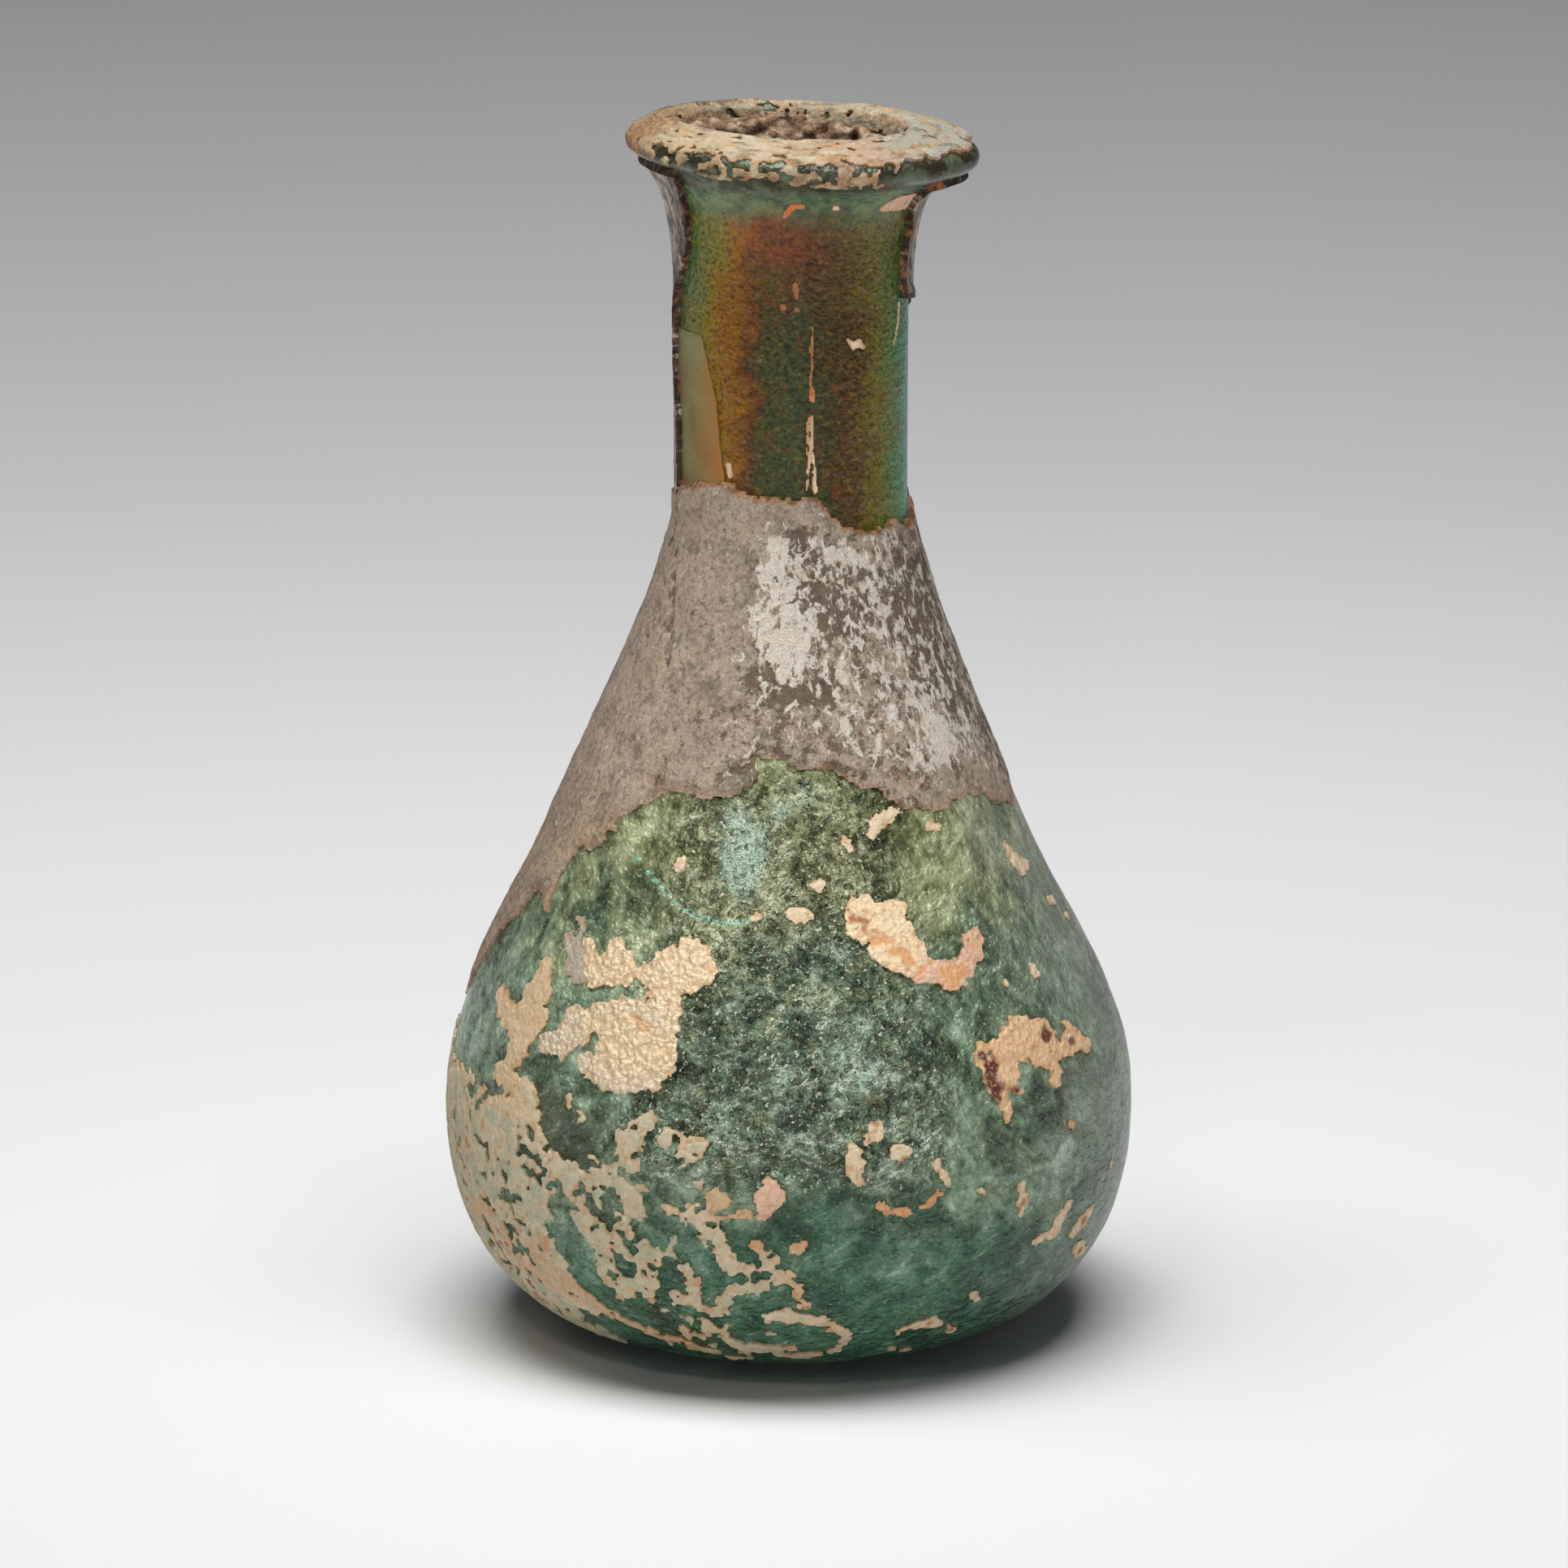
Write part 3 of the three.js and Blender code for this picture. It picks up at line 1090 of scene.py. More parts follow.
class CrustFinish(WeatheredFinish):
    """The finish of the matte grey-brown crust round the shoulder."""

    def __init__(self, effects: Effects) -> None:
        """Wire the finish.

        Args:
            effects: The shared effects.
        """
        super().__init__("shoulder_crust", effects, Specular_IOR_Level=0.3)
        board, place = self.board, self.place
        tint, _ = board.attribute("tint")
        _, chalk = board.attribute("chalk")
        _, grime_and_groove_shade = board.attribute("grime_and_groove_shade")
        clay = self.mottle(0.3, 2.6, paint(148, 129, 110), paint(196, 176, 156), paint(224, 206, 186))
        base = board.mix(0.55, clay, tint)
        sandy = board.noise(place, 2.1, 5.0, roughness=0.72)
        base = board.stain(base, board.step(sandy, 0.49, 0.36), 0.6, paint(104, 86, 68))
        base = board.stain(base, board.step(sandy, 0.53, 0.66), 0.6, paint(240, 222, 200))
        smoky = board.noise(place, 0.5, 6.0, roughness=0.7)
        base = board.stain(base, board.step(smoky, 0.5, 0.66), 0.62, paint(120, 106, 92))
        base = board.stain(base, board.step(smoky, 0.46, 0.34), 0.5, paint(214, 182, 150))
        leaning = board.put("Mapping", {
            "Vector": place, "Rotation": (0.0, 0.45, 0.0), "Scale": (1.25, 1.25, 0.8),
        })
        blotches = board.noise(leaning.outputs[0], 0.95, 7.0, roughness=0.72, distortion=0.4)
        speckle = board.noise(place, 0.72, 6.0, roughness=0.7)
        # The grime mask also holds painted shade along the grooves; both darken the crust to earthy browns.
        dirty = board.maths("MULTIPLY_ADD", board.maths("SUBTRACT", speckle, 0.5), 3.6, grime_and_groove_shade)
        earthy = board.mix(sandy, paint(70, 57, 45), paint(134, 112, 90))
        base = board.stain(base, board.step(dirty, 0.42, 0.66), 0.8, earthy)
        white = board.maths("MULTIPLY_ADD", board.maths("SUBTRACT", blotches, 0.5), 4.6, chalk)
        white_mask = board.step(white, 0.5, 0.66)
        chalky = board.mix(board.step(sandy, 0.35, 0.65), paint(250, 230, 208), paint(255, 250, 238))
        base = board.stain(base, white_mask, 0.93, chalky)
        grainy = board.step(board.noise(place, 1.5, 5.0, roughness=0.7), 0.36, 0.64)
        rust = board.mix(grainy, paint(112, 66, 36), paint(228, 172, 120))
        height = board.put("SeparateXYZ", {0: place}).outputs[2]
        rim_colour = board.mix(board.step(height, 56.0, 62.0), board.mix(0.62, rust, base), rust)
        base = board.stain(base, self.rim(0.75), 0.85, rim_colour)
        pits = self.pits(0.8, 0.16)
        base = board.stain(base, pits, 0.6, paint(60, 50, 42))
        unpitted = board.maths("SUBTRACT", 1.0, pits)
        self.bump((self.grit(1.1, 0.6), 1.1), (sandy, 0.3), (white_mask, 0.1), (unpitted, 0.15))
        self.feed(Base_Color=base, Roughness=board.blend(white_mask, 0.8, 0.94))


class FlakeFinish(WeatheredFinish):
    """The finish of the flakes and crusts of the belly, pearly where they are gilt."""

    def __init__(self, effects: Effects) -> None:
        """Wire the finish.

        Args:
            effects: The shared effects.
        """
        super().__init__("flaking_crust", effects, Specular_IOR_Level=0.5)
        board, place = self.board, self.place
        tint, _ = board.attribute("tint")
        _, gilt = board.attribute("gilt")
        clouds = board.noise(place, 1.1, 6.0, roughness=0.7, distortion=0.3)
        fine = board.noise(place, 2.8, 4.0, roughness=0.7)
        matte = board.maths("SUBTRACT", 1.0, gilt, clamp=True)
        paler = board.mix(0.65, tint, paint(232, 224, 196))
        base = board.stain(tint, board.step(clouds, 0.5, 0.7), 0.5, paler)
        rusty = board.blend(gilt, 0.85, 0.35)
        base = board.stain(base, board.step(clouds, 0.46, 0.34), rusty, paint(192, 138, 86))
        base = board.stain(base, board.step(fine, 0.4, 0.3), 0.6, paint(112, 84, 56))
        base = board.stain(base, board.step(fine, 0.58, 0.7), 0.4, paint(232, 220, 190))
        wander = {"Vector": place, "Scale": 0.9, "Detail": 3.0, "Roughness": 0.6}
        shift = board.put("TexNoise", wander).outputs["Color"]
        bent = board.put("VectorMath", {0: place, 1: shift}, operation="ADD").outputs[0]
        cells = {"Vector": bent, "Scale": 2.1, "Smoothness": 0.5}
        pebbles = board.put("TexVoronoi", cells, feature="SMOOTH_F1").outputs["Distance"]
        # Painted shade: the crevices between the pebbled domes are darkened to orange-brown, more where the
        # flake is gilt.
        painted_crevice_shade = board.step(pebbles, 0.42, 0.62)
        base = board.stain(base, painted_crevice_shade, board.maths("MULTIPLY", gilt, 0.4), paint(176, 132, 84))
        base = board.stain(base, self.rim(0.16), board.blend(gilt, 0.6, 0.3), paint(176, 124, 74))
        domes = board.maths("MULTIPLY", board.maths("SUBTRACT", 1.0, pebbles), board.blend(gilt, 0.25, 1.0))
        self.bump((domes, 0.3), (self.grit(1.7, 0.5), 0.2))
        self.feed(
            Base_Color=base,
            Roughness=board.maths("MULTIPLY_ADD", matte, 0.45, 0.33),
            Metallic=board.maths("MULTIPLY", gilt, 0.22),
        )


class SkinFinish(WeatheredFinish):
    """The finish of the neck's peeling skin: silvery cream, brown at its torn edges."""

    def __init__(self, effects: Effects) -> None:
        """Wire the finish.

        Args:
            effects: The shared effects.
        """
        super().__init__("peeling_skin", effects, Specular_IOR_Level=0.5)
        board, place = self.board, self.place
        tint, _ = board.attribute("tint")
        cloudy = self.mottle(0.4, 3.4, paint(70, 54, 42), paint(168, 154, 134), paint(222, 210, 188))
        base = board.mix(0.4, cloudy, tint)
        upright = board.put("Mapping", {"Vector": place, "Scale": (1.0, 1.0, 0.35)}).outputs[0]
        stains = board.noise(upright, 1.1, 6.0, roughness=0.72, distortion=0.6)
        base = board.stain(base, board.step(stains, 0.54, 0.43), 0.9, paint(50, 32, 26))
        patchy = board.step(board.noise(place, 1.3, 5.0), 0.46, 0.72)
        brown = board.mix(patchy, paint(36, 18, 13), paint(142, 92, 56))
        base = board.stain(base, self.rim(0.28), 0.94, brown)
        self.bump((self.grit(1.2, 0.5), 0.35))
        self.feed(Base_Color=base, Roughness=board.blend(stains, 0.3, 0.7))


class PlateFinish(WeatheredFinish):
    """The finish of the thin glassy plate that is still on the left of the neck."""

    def __init__(self, effects: Effects) -> None:
        """Wire the finish.

        Args:
            effects: The shared effects.
        """
        super().__init__("glassy_plate", effects, IOR=1.5)
        board, place = self.board, self.place
        base = self.mottle(0.2, 3.2, paint(102, 84, 42), paint(116, 106, 58), paint(118, 124, 80))
        x, y, _ = board.put("SeparateXYZ", {0: place}).outputs
        turn = board.maths("ARCTAN2", x, board.maths("MULTIPLY", y, -1.0))
        base = board.stain(base, board.step(turn, -1.1, -0.62), 0.75, paint(150, 96, 40))
        base = board.stain(base, self.rim(0.12), 0.7, paint(48, 50, 26))
        self.bump((self.grit(1.6, 0.4), 0.1))
        self.feed(Base_Color=base, Roughness=board.blend(board.noise(place, 0.7, 4.0), 0.3, 0.5))


class SoilFinish(WeatheredFinish):
    """The finish of the crumbly soil in the mouth."""

    def __init__(self, effects: Effects) -> None:
        """Wire the finish.

        Args:
            effects: The shared effects.
        """
        super().__init__("mouth_soil", effects, Specular_IOR_Level=0.2, Roughness=0.95)
        self.bump((self.grit(1.8, 0.6), 0.6))
        self.feed(
            Base_Color=self.mottle(0.65, 4.0, paint(84, 60, 44), paint(176, 142, 114), paint(238, 210, 178))
        )


# ---- Pieces -----------------------------------------------------------------


def new_piece(name: str, mesh: bpy.types.Mesh, material: bpy.types.Material, slot: str) -> bpy.types.Object:
    """Make a piece of the flask from its finished mesh.

    Args:
        name: The piece's name.
        mesh: The mesh, in metres and in place.
        material: Its finish.
        slot: The record's material slot; not used.

    Returns:
        The piece.
    """
    mesh.materials.append(material)
    piece = bpy.data.objects.new(name, mesh)
    bpy.context.scene.collection.objects.link(piece)
    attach(piece, BODY)
    LOG.info("%s: %d faces", name, len(mesh.polygons))
    return piece


def write_places(mesh: bpy.types.Mesh, places: np.ndarray, marks: dict[str, np.ndarray]) -> None:
    """Move a mesh's corners to their places and write what its finish reads.

    Args:
        mesh: The mesh.
        places: One row of x, y and z in millimetres for each corner.
        marks: A number or a colour for each corner, by attribute name.
    """
    mesh.vertices.foreach_set("co", (places * METRES).astype(np.float32).ravel())
    for name, values in marks.items():
        coloured = values.ndim == 2
        kind, part = ("FLOAT_COLOR", "color") if coloured else ("FLOAT", "value")
        layer = mesh.attributes.new(name, kind, "POINT")
        layer.data.foreach_set(part, values.astype(np.float32).ravel())
    mesh.update()


@dataclass
class Glass:
    """The blown glass itself, with its wall, its uneven skin and its scars."""

    form: FlaskForm
    segments: int = 350
    wave: float = 0.1
    pebble: float = 0.055
    scar: float = 0.16
    steps: dict[str, float] = field(default_factory=lambda: {
        "kick": 1.5, "ring": 1.0, "heel": 0.5, "shoulder": 0.5, "cone": 1.0, "neck": 0.5,
        "flare": 0.5, "underlip": 0.4, "lip": 0.25, "slope": 0.3, "crest": 0.3, "brim": 0.3,
        "funnel": 0.8, "bore": 3.0, "inner_cone": 3.0, "inner_shoulder": 3.0,
        "inner_heel": 3.0, "floor": 3.0,
    })
    scar_line: tuple[tuple[float, float], ...] = (
        (-46.0, 45.4), (-40.0, 43.0), (-32.0, 41.4), (-24.0, 39.6), (-16.0, 38.9), (5.0, 39.3),
    )

    def build(self, material: bpy.types.Material) -> bpy.types.Object:
        """Roll the wall round, stray from the true round and dress it.

        Args:
            material: The glass's finish.

        Returns:
            The piece.
        """
        bm = bmesh.new()
        kept = bm.verts.layers.float.new("arc")
        stations = self._stations()
        radii, heights, _, _ = self.form.section(stations)
        rows = len(stations) - 1
        bmesh.ops.create_grid(bm, x_segments=self.segments, y_segments=rows, size=1.0)
        for vert in bm.verts:
            row = round((vert.co.y + 1) / 2 * rows)
            turn = math.pi * vert.co.x
            vert[kept] = stations[row]
            vert.co = (radii[row] * math.sin(turn), -radii[row] * math.cos(turn), heights[row])
        bmesh.ops.remove_doubles(bm, verts=bm.verts, dist=1e-4)
        bmesh.ops.recalc_face_normals(bm, faces=bm.faces)
        for face in bm.faces:
            face.smooth = True
        rounds = np.array([vert.co[:] for vert in bm.verts])
        arcs = np.array([vert[kept] for vert in bm.verts])
        bm.verts.layers.float.remove(kept)
        mesh = bpy.data.meshes.new("glass")
        bm.to_mesh(mesh)
        bm.free()
        turns = np.degrees(np.arctan2(rounds[:, 0], -rounds[:, 1]))
        spots = Spots(self.form, turns, arcs)
        write_places(mesh, self.form.place(turns, arcs, self._relief(spots)), self._marks(spots))
        piece = new_piece("glass", mesh, material, "glass")
        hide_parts("flask")
        return piece

    def _stations(self) -> np.ndarray:
        """Space the section's corners, stretch by stretch.

        Returns:
            The ways along the outline at which they lie.
        """
        found, start = [0.0], 0.0
        for name, end in self.form.ends.items():
            count = max(2, round((end - start) / self.steps[name]))
            found += np.linspace(start, end, count + 1)[1:].tolist()
            start = end
        return np.array(found)

    def _centre(self, spots: Spots) -> np.ndarray:
        """Find how much each place belongs to the rough middle of the front."""
        across = ease(34.0 - np.abs(spots.turns + 1.0 + 4.0 * spots.grain(6.0)), 0.0, 14.0)
        return across * band(spots.heights, 17.0, 22.0, 48.0, 52.0)

    def _scarred(self, spots: Spots) -> tuple[np.ndarray, np.ndarray]:
        """Measure the shallow scar across the top of the belly.

        Args:
            spots: The places.

        Returns:
            How deep in it and how near to its edge each place is, from 0 to 1.
        """
        turns, heights = zip(*self.scar_line)
        line = np.interp(spots.turns, turns, heights)
        inside = (spots.turns > turns[0]) & (spots.turns < turns[-1] + 3)
        above = (spots.heights - line) * inside
        fade = ease(spots.turns, turns[0], turns[0] + 8) * ease(-spots.turns, -turns[-1] - 3, 12)
        sunk = ease(above, -0.1, 0.35) * ease(-above, -9.0, -1.0) * fade
        near = ease(0.55 - np.abs(above - 0.1), 0.0, 0.5) * inside * fade
        return sunk, near

    def _relief(self, spots: Spots) -> np.ndarray:
        """Work out how far the skin stands off the even form.

        Args:
            spots: The places.

        Returns:
            Millimetres for each place.
        """
        outside = spots.arcs < self.form.ends["lip"]
        free = outside * band(spots.heights, 0.4, 2.5, 95.0, 98.0)
        rough = 0.25 + 0.75 * self._centre(spots)
        rough = rough * ease(70.0 - spots.heights, 0.0, 10.0)
        waves = self.wave * spots.grain(7.0, 2)
        pebbles = self.pebble * rough * (spots.grain(1.6, 2, 7.0) + spots.grain(3.4, 1, 3.0))
        sunk, _ = self._scarred(spots)
        return free * (waves + pebbles - self.scar * sunk)

    def _marks(self, spots: Spots) -> dict[str, np.ndarray]:
        """Work out what the finish reads: rough, hazy, bare and cracked places, milky spots and a painted
        window reflection.

        Args:
            spots: The places.

        Returns:
            A share for each place, by attribute name.
        """
        outside = spots.arcs < self.form.ends["lip"]
        belly = outside * ease(56.0 - spots.heights, 0.0, 8.0)
        right = band(spots.turns, 38.0, 66.0, 125.0, 185.0)
        haze = right * (0.75 + 0.5 * spots.grain(6.0, 3, 2.0)) * belly
        ovals = strokes(
            Tone.BROWN,
            ((-49.0, 24.2, 0.8), (-44.5, 23.2, 2.2), (-40.5, 21.8, 2.9), (-37.5, 20.8, 2.3)),
            ((-33.0, 16.2, 1.7),), ((-25.0, 7.0, 1.5),),
        )
        bare = ease(spots.depth(ovals), -0.2, 0.9)
        # The first patch is a painted reflection of a window on the upper belly; the rest are milky spots.
        milky_spots_and_reflection = strokes(
            Tone.CREAM,
            ((-12.5, 46.6, 1.4), (-11.0, 44.5, 2.3), (-11.5, 42.4, 1.6)), ((-1.0, 27.6, 0.9),),
            ((13.0, 27.5, 1.2),), ((14.0, 31.5, 0.8),), ((9.0, 29.5, 0.6), (12.0, 30.4, 0.5)),
            ((11.0, 36.4, 0.5),), ((-2.0, 47.5, 0.8), (4.0, 48.8, 0.6)),
        )
        cloud = ease(spots.depth(milky_spots_and_reflection) + 0.7 * spots.grain(1.9, 3), -0.6, 1.2)
        _, near = self._scarred(spots)
        return {
            "cloud": cloud * outside,
            "rough": self._centre(spots),
            "haze": np.clip(haze, 0.0, 1.0),
            "bare": bare * belly,
            "crack": near * outside,
        }


@dataclass
class Layer:
    """A thin layer on the flask, cut from a sheet that is rolled out over it."""

    form: FlaskForm
    low: float
    high: float
    start: float = -180.0
    end: float = 180.0
    cell: float = 0.25
    thickness: float = 0.3
    sink: float = 0.15
    least: int = 10
    name: str = "layer"
    slot: str = "crust"

    def cover(self, spots: Spots) -> np.ndarray:
        """Measure how deep inside the layer's outline each place is.

        Args:
            spots: The places.

        Returns:
            Millimetres inside the outline, and less than 0 outside.
        """
        raise NotImplementedError

    def lift(self, spots: Spots, cover: np.ndarray) -> np.ndarray:
        """Work out how far the layer's top stands off the glass.

        Args:
            spots: The places.
            cover: How deep inside the outline they are.

        Returns:
            Millimetres for each place.
        """
        return self.thickness * (0.55 + 0.45 * ease(cover, 0.0, 0.4)) + 0.02 * spots.grain(0.9)

    def marks(self, spots: Spots) -> dict[str, np.ndarray]:
        """Work out what the finish reads, besides the distance to the edge.

        Args:
            spots: The places.

        Returns:
            A number or a colour for each place, by attribute name.
        """
        return {}

    def build(self, material: bpy.types.Material) -> bpy.types.Object:
        """Roll out the sheet, cut it, give it its thickness and lay it on.

        Args:
            material: The layer's finish.

        Returns:
            The piece.
        """
        bm = bmesh.new()
        radius = self._roll_out(bm)
        self._cut(bm)
        self._clean(bm)
        bmesh.ops.solidify(bm, geom=bm.faces[:], thickness=1.0)
        rounds = np.array([vert.co[:] for vert in bm.verts])
        upper = np.hypot(rounds[:, 0], rounds[:, 1]) > radius - 0.5
        self._shade(bm, upper)
        mesh = bpy.data.meshes.new(self.name)
        bm.to_mesh(mesh)
        bm.free()
        spots = self._spots(rounds)
        cover = self.cover(spots)
        lift = np.where(upper, self.lift(spots, cover), -self.sink)
        marks = {"edge": np.clip(cover, 0.0, 2.0), **self.marks(spots)}
        write_places(mesh, self.form.place(spots.turns, spots.arcs, lift), marks)
        return new_piece(self.name, mesh, material, self.slot)

    def _spots(self, rounds: np.ndarray) -> Spots:
        """Read which places on the flask the sheet's corners lie over."""
        turns = np.degrees(np.arctan2(rounds[:, 0], -rounds[:, 1]))
        return Spots(self.form, turns, rounds[:, 2])

    def _roll_out(self, bm: bmesh.types.BMesh) -> float:
        """Bend the uncut sheet round a plain roller.

        Args:
            bm: An empty mesh, which becomes the sheet.

        Returns:
            The roller's radius.
        """
        across = self.form.section(np.linspace(self.low, self.high, 9))[0]
        radius = float(across.mean())
        span = math.radians(self.end - self.start)
        bmesh.ops.create_grid(
            bm, x_segments=round(span * radius / self.cell),
            y_segments=math.ceil((self.high - self.low) / self.cell), size=1.0,
        )
        first, middle = math.radians(self.start), (self.low + self.high) / 2
        for vert in bm.verts:
            turn = first + span * (vert.co.x + 1) / 2
            arc = middle + vert.co.y * (self.high - middle)
            vert.co = (radius * math.sin(turn), -radius * math.cos(turn), arc)
        if span > math.tau - 1e-6:
            bmesh.ops.remove_doubles(bm, verts=bm.verts, dist=1e-3)
        bmesh.ops.recalc_face_normals(bm, faces=bm.faces)
        bm.faces.ensure_lookup_table()
        face = bm.faces[len(bm.faces) // 2]
        middle = face.calc_center_median()
        if face.normal.x * middle.x + face.normal.y * middle.y < 0:
            bmesh.ops.reverse_faces(bm, faces=bm.faces)
        return radius

    def _cut(self, bm: bmesh.types.BMesh) -> None:
        """Cut away what lies outside the layer's outline.

        Args:
            bm: The sheet.
        """
        bm.verts.index_update()
        rounds = np.array([vert.co[:] for vert in bm.verts])
        cover = self.cover(self._spots(rounds)).tolist()
        gone = [face for face in bm.faces if sum(cover[v.index] for v in face.verts) < 0]
        bmesh.ops.delete(bm, geom=gone, context="FACES")

    def _clean(self, bm: bmesh.types.BMesh) -> None:
        """Part corners that only touch, drop crumbs and smooth the outline.

        Args:
            bm: The cut sheet.
        """
        while touching := [
            vert for vert in bm.verts if sum(edge.is_boundary for edge in vert.link_edges) > 2
        ]:
            bmesh.ops.delete(bm, geom=touching, context="VERTS")
        seen: set[bmesh.types.BMFace] = set()
        crumbs = []
        for face in bm.faces:
            if face in seen:
                continue
            island, waiting = [], [face]
            seen.add(face)
            while waiting:
                found = waiting.pop()
                island.append(found)
                for edge in found.edges:
                    for other in edge.link_faces:
                        if other not in seen:
                            seen.add(other)
                            waiting.append(other)
            if len(island) < self.least:
                crumbs += island
        bmesh.ops.delete(bm, geom=crumbs, context="FACES")
        rim = [vert for vert in bm.verts if vert.is_boundary]
        bmesh.ops.smooth_vert(
            bm, verts=rim, factor=0.5, use_axis_x=True, use_axis_y=True, use_axis_z=True
        )

    @staticmethod
    def _shade(bm: bmesh.types.BMesh, upper: np.ndarray) -> None:
        """Shade the faces smooth, but keep the cliff's two edges sharp.

        Args:
            bm: The layer, with its thickness.
            upper: Whether each corner is on the top.
        """
        bm.verts.index_update()
        flags = upper.tolist()
        for face in bm.faces:
            face.smooth = True
            levels = {flags[vert.index] for vert in face.verts}
            if len(levels) == 2:
                for edge in face.edges:
                    a, b = edge.verts
                    if flags[a.index] == flags[b.index]:
                        edge.smooth = False


@dataclass
class ShoulderCrust(Layer):
    """The matte crust from the shoulder to the foot of the neck."""

    name: str = "shoulder_crust"
    cell: float = 0.3
    thickness: float = 0.34
    top: tuple[tuple[float, float], ...] = (
        (-170, 70.6), (-120, 71.4), (-84, 70.4), (-62, 71.8), (-39.5, 72.5), (-31.5, 72.6),
        (-25.8, 71.8), (-14.5, 71.5), (-2.5, 71.7), (2.5, 71.4), (9, 72.1), (13, 71.5),
        (17.2, 70.1), (27, 69.1), (34.2, 68.3), (50.3, 68.5), (59.8, 69.1), (70.5, 67.9),
        (84.2, 68.3), (110, 70.4), (150, 69.6),
    )
    bottom: tuple[tuple[float, float], ...] = (
        (-180, 41.5), (-150, 35.6), (-132, 29.5), (-115, 27), (-98, 27.4), (-86.8, 28.6),
        (-82, 34), (-74, 35.7), (-71.2, 37.9), (-64, 38.6), (-61.8, 40.9), (-59, 42.7),
        (-52.8, 42.8), (-50, 45.3), (-46.8, 45.6), (-41.8, 46.9), (-34.2, 48.2), (-25.2, 48.3),
        (-15.2, 48.2), (-10.8, 49), (-9, 51.3), (-2, 51.3), (4.8, 50.3), (11.5, 50.5),
        (17, 49.4), (24.5, 48.7), (31.5, 47.1), (41.8, 46.3), (50.8, 47), (61.5, 46.7),
        (70, 45.6), (81.2, 44.6), (115, 48.4), (150, 46.6),
    )
    drips: tuple[Stroke, ...] = strokes(
        Tone.ORANGE,
        ((-68, 42.2, 0.8), (-66, 41.5, 1.4), (-63.5, 41, 1.0)),
        ((-67, 39.5, 0.7), (-64.5, 38.3, 0.6), (-62.5, 37.4, 0.5), (-60.5, 37.3, 0.5)),
        ((-59, 43.9, 0.8), (-55, 43.7, 0.7), (-51.5, 43.6, 0.5)),
        ((-50, 44.8, 0.5), (-48, 44.5, 0.4)),
    )
    chalky: tuple[Stroke, ...] = strokes(
        Tone.CREAM,
        ((-8, 68.5, 1),), ((3, 68.8, 1),), ((-2, 60, 2.0), (3, 59, 1.5)),
        ((-8, 66, 2.0), (5, 65.8, 1), (14, 66, 1)),
        ((25, 67.5, 1.2), (32, 66, 2), (36, 64, 2), (33, 61, 2.5), (38, 58, 2.5), (42, 56, 3),
         (50, 54.5, 3), (52, 52, 2.5), (47, 50.5, 2.5)),
        ((20, 54, 1.5), (30, 53, 2)), ((15, 57, 1), (20, 58, 1)), ((65, 50, 2), (75, 48.5, 1.5)),
        ((130, 55, 3), (150, 60, 2)),
    )
    solid: tuple[Stroke, ...] = strokes(
        Tone.CREAM, ((-12, 65, 1.0), (-10, 62.5, 2.2), (-4, 61.2, 2.4), (-2, 58.6, 1.6), (3, 61, 1.4)),
        ((19, 66.5, 0.8), (23, 66.8, 0.9)), ((-4, 66.5, 0.9), (-9, 67.5, 0.7)),
        ((48, 54, 1.0), (51, 51, 1.2)),
    )
    grimy: tuple[Stroke, ...] = strokes(
        Tone.BROWN,
        ((12, 63, 2.5),), ((20, 62, 2),), ((0, 57, 2),), ((-8, 58, 2),), ((8, 56.5, 1.5),),
        ((5, 67.5, 1.5),), ((20, 65.5, 1),), ((57, 62, 4),), ((60, 57, 3),), ((170, 58, 4),),
    )
    groove: tuple[Stroke, ...] = strokes(
        Tone.BROWN,
        ((-20, 49.8, 0.1), (-12, 50.8, 0.2), (-9, 52, 0.22), (0, 51.5, 0.12)),
        ((6, 50.3, 0.1), (13, 50.8, 0.15), (22, 49.6, 0.1)),
        ((-66, 66.5, 0.1), (-60, 63.5, 0.2), (-54, 60.5, 0.24), (-49, 57.5, 0.2)),
    )
    pinholes: tuple[Stroke, ...] = strokes(
        Tone.BROWN, ((-38.5, 49, 0.35),), ((35, 49.3, 0.35),), ((100, 60, 0.3),),
    )
    knob: tuple[Stroke, ...] = strokes(Tone.GREY, ((-9, 53.5, 0.3), (-5, 53.6, 0.35)))

    def cover(self, spots: Spots) -> np.ndarray:
        """Measure how deep inside the crust's outline each place is."""
        broken = spots.shifted(1.3, 0.45, 5.0)
        to_arc = self.form.arc_at
        below = to_arc(broken.line(self.top)) - broken.arcs
        above = broken.arcs - to_arc(broken.line(self.bottom))
        body = np.minimum(below, above) + 0.22 * spots.grain(1.6, 3)
        drips = broken.depth(self.drips) + 0.15 * spots.grain(0.8)
        holes = spots.depth(self.pinholes)
        return np.minimum(np.maximum(body, drips), -holes)

    def lift(self, spots: Spots, cover: np.ndarray) -> np.ndarray:
        """Work out how far the crust stands off: thin below, a small cliff at the neck."""
        upper = ease(spots.heights, 60.0, 66.0)
        edge = 0.17 + (self.thickness - 0.17) * ease(cover, 0.0, 1.3)
        cliff = 0.16 + (self.thickness + 0.1) * ease(cover, -0.05, 0.5)
        body = edge * (1 - upper) + cliff * upper
        grit = 0.05 * spots.grain(2.6, 2, 4.0) + 0.035 * spots.grain(0.8, 2, 9.0)
        cracks = ease(spots.depth(self.groove), -0.35, 0.15)
        knob = ease(spots.depth(self.knob), -0.5, 0.3)
        body = body + grit * ease(cover, 0.0, 0.6) - 0.22 * cracks + 0.4 * knob
        return np.maximum(body, 0.1)

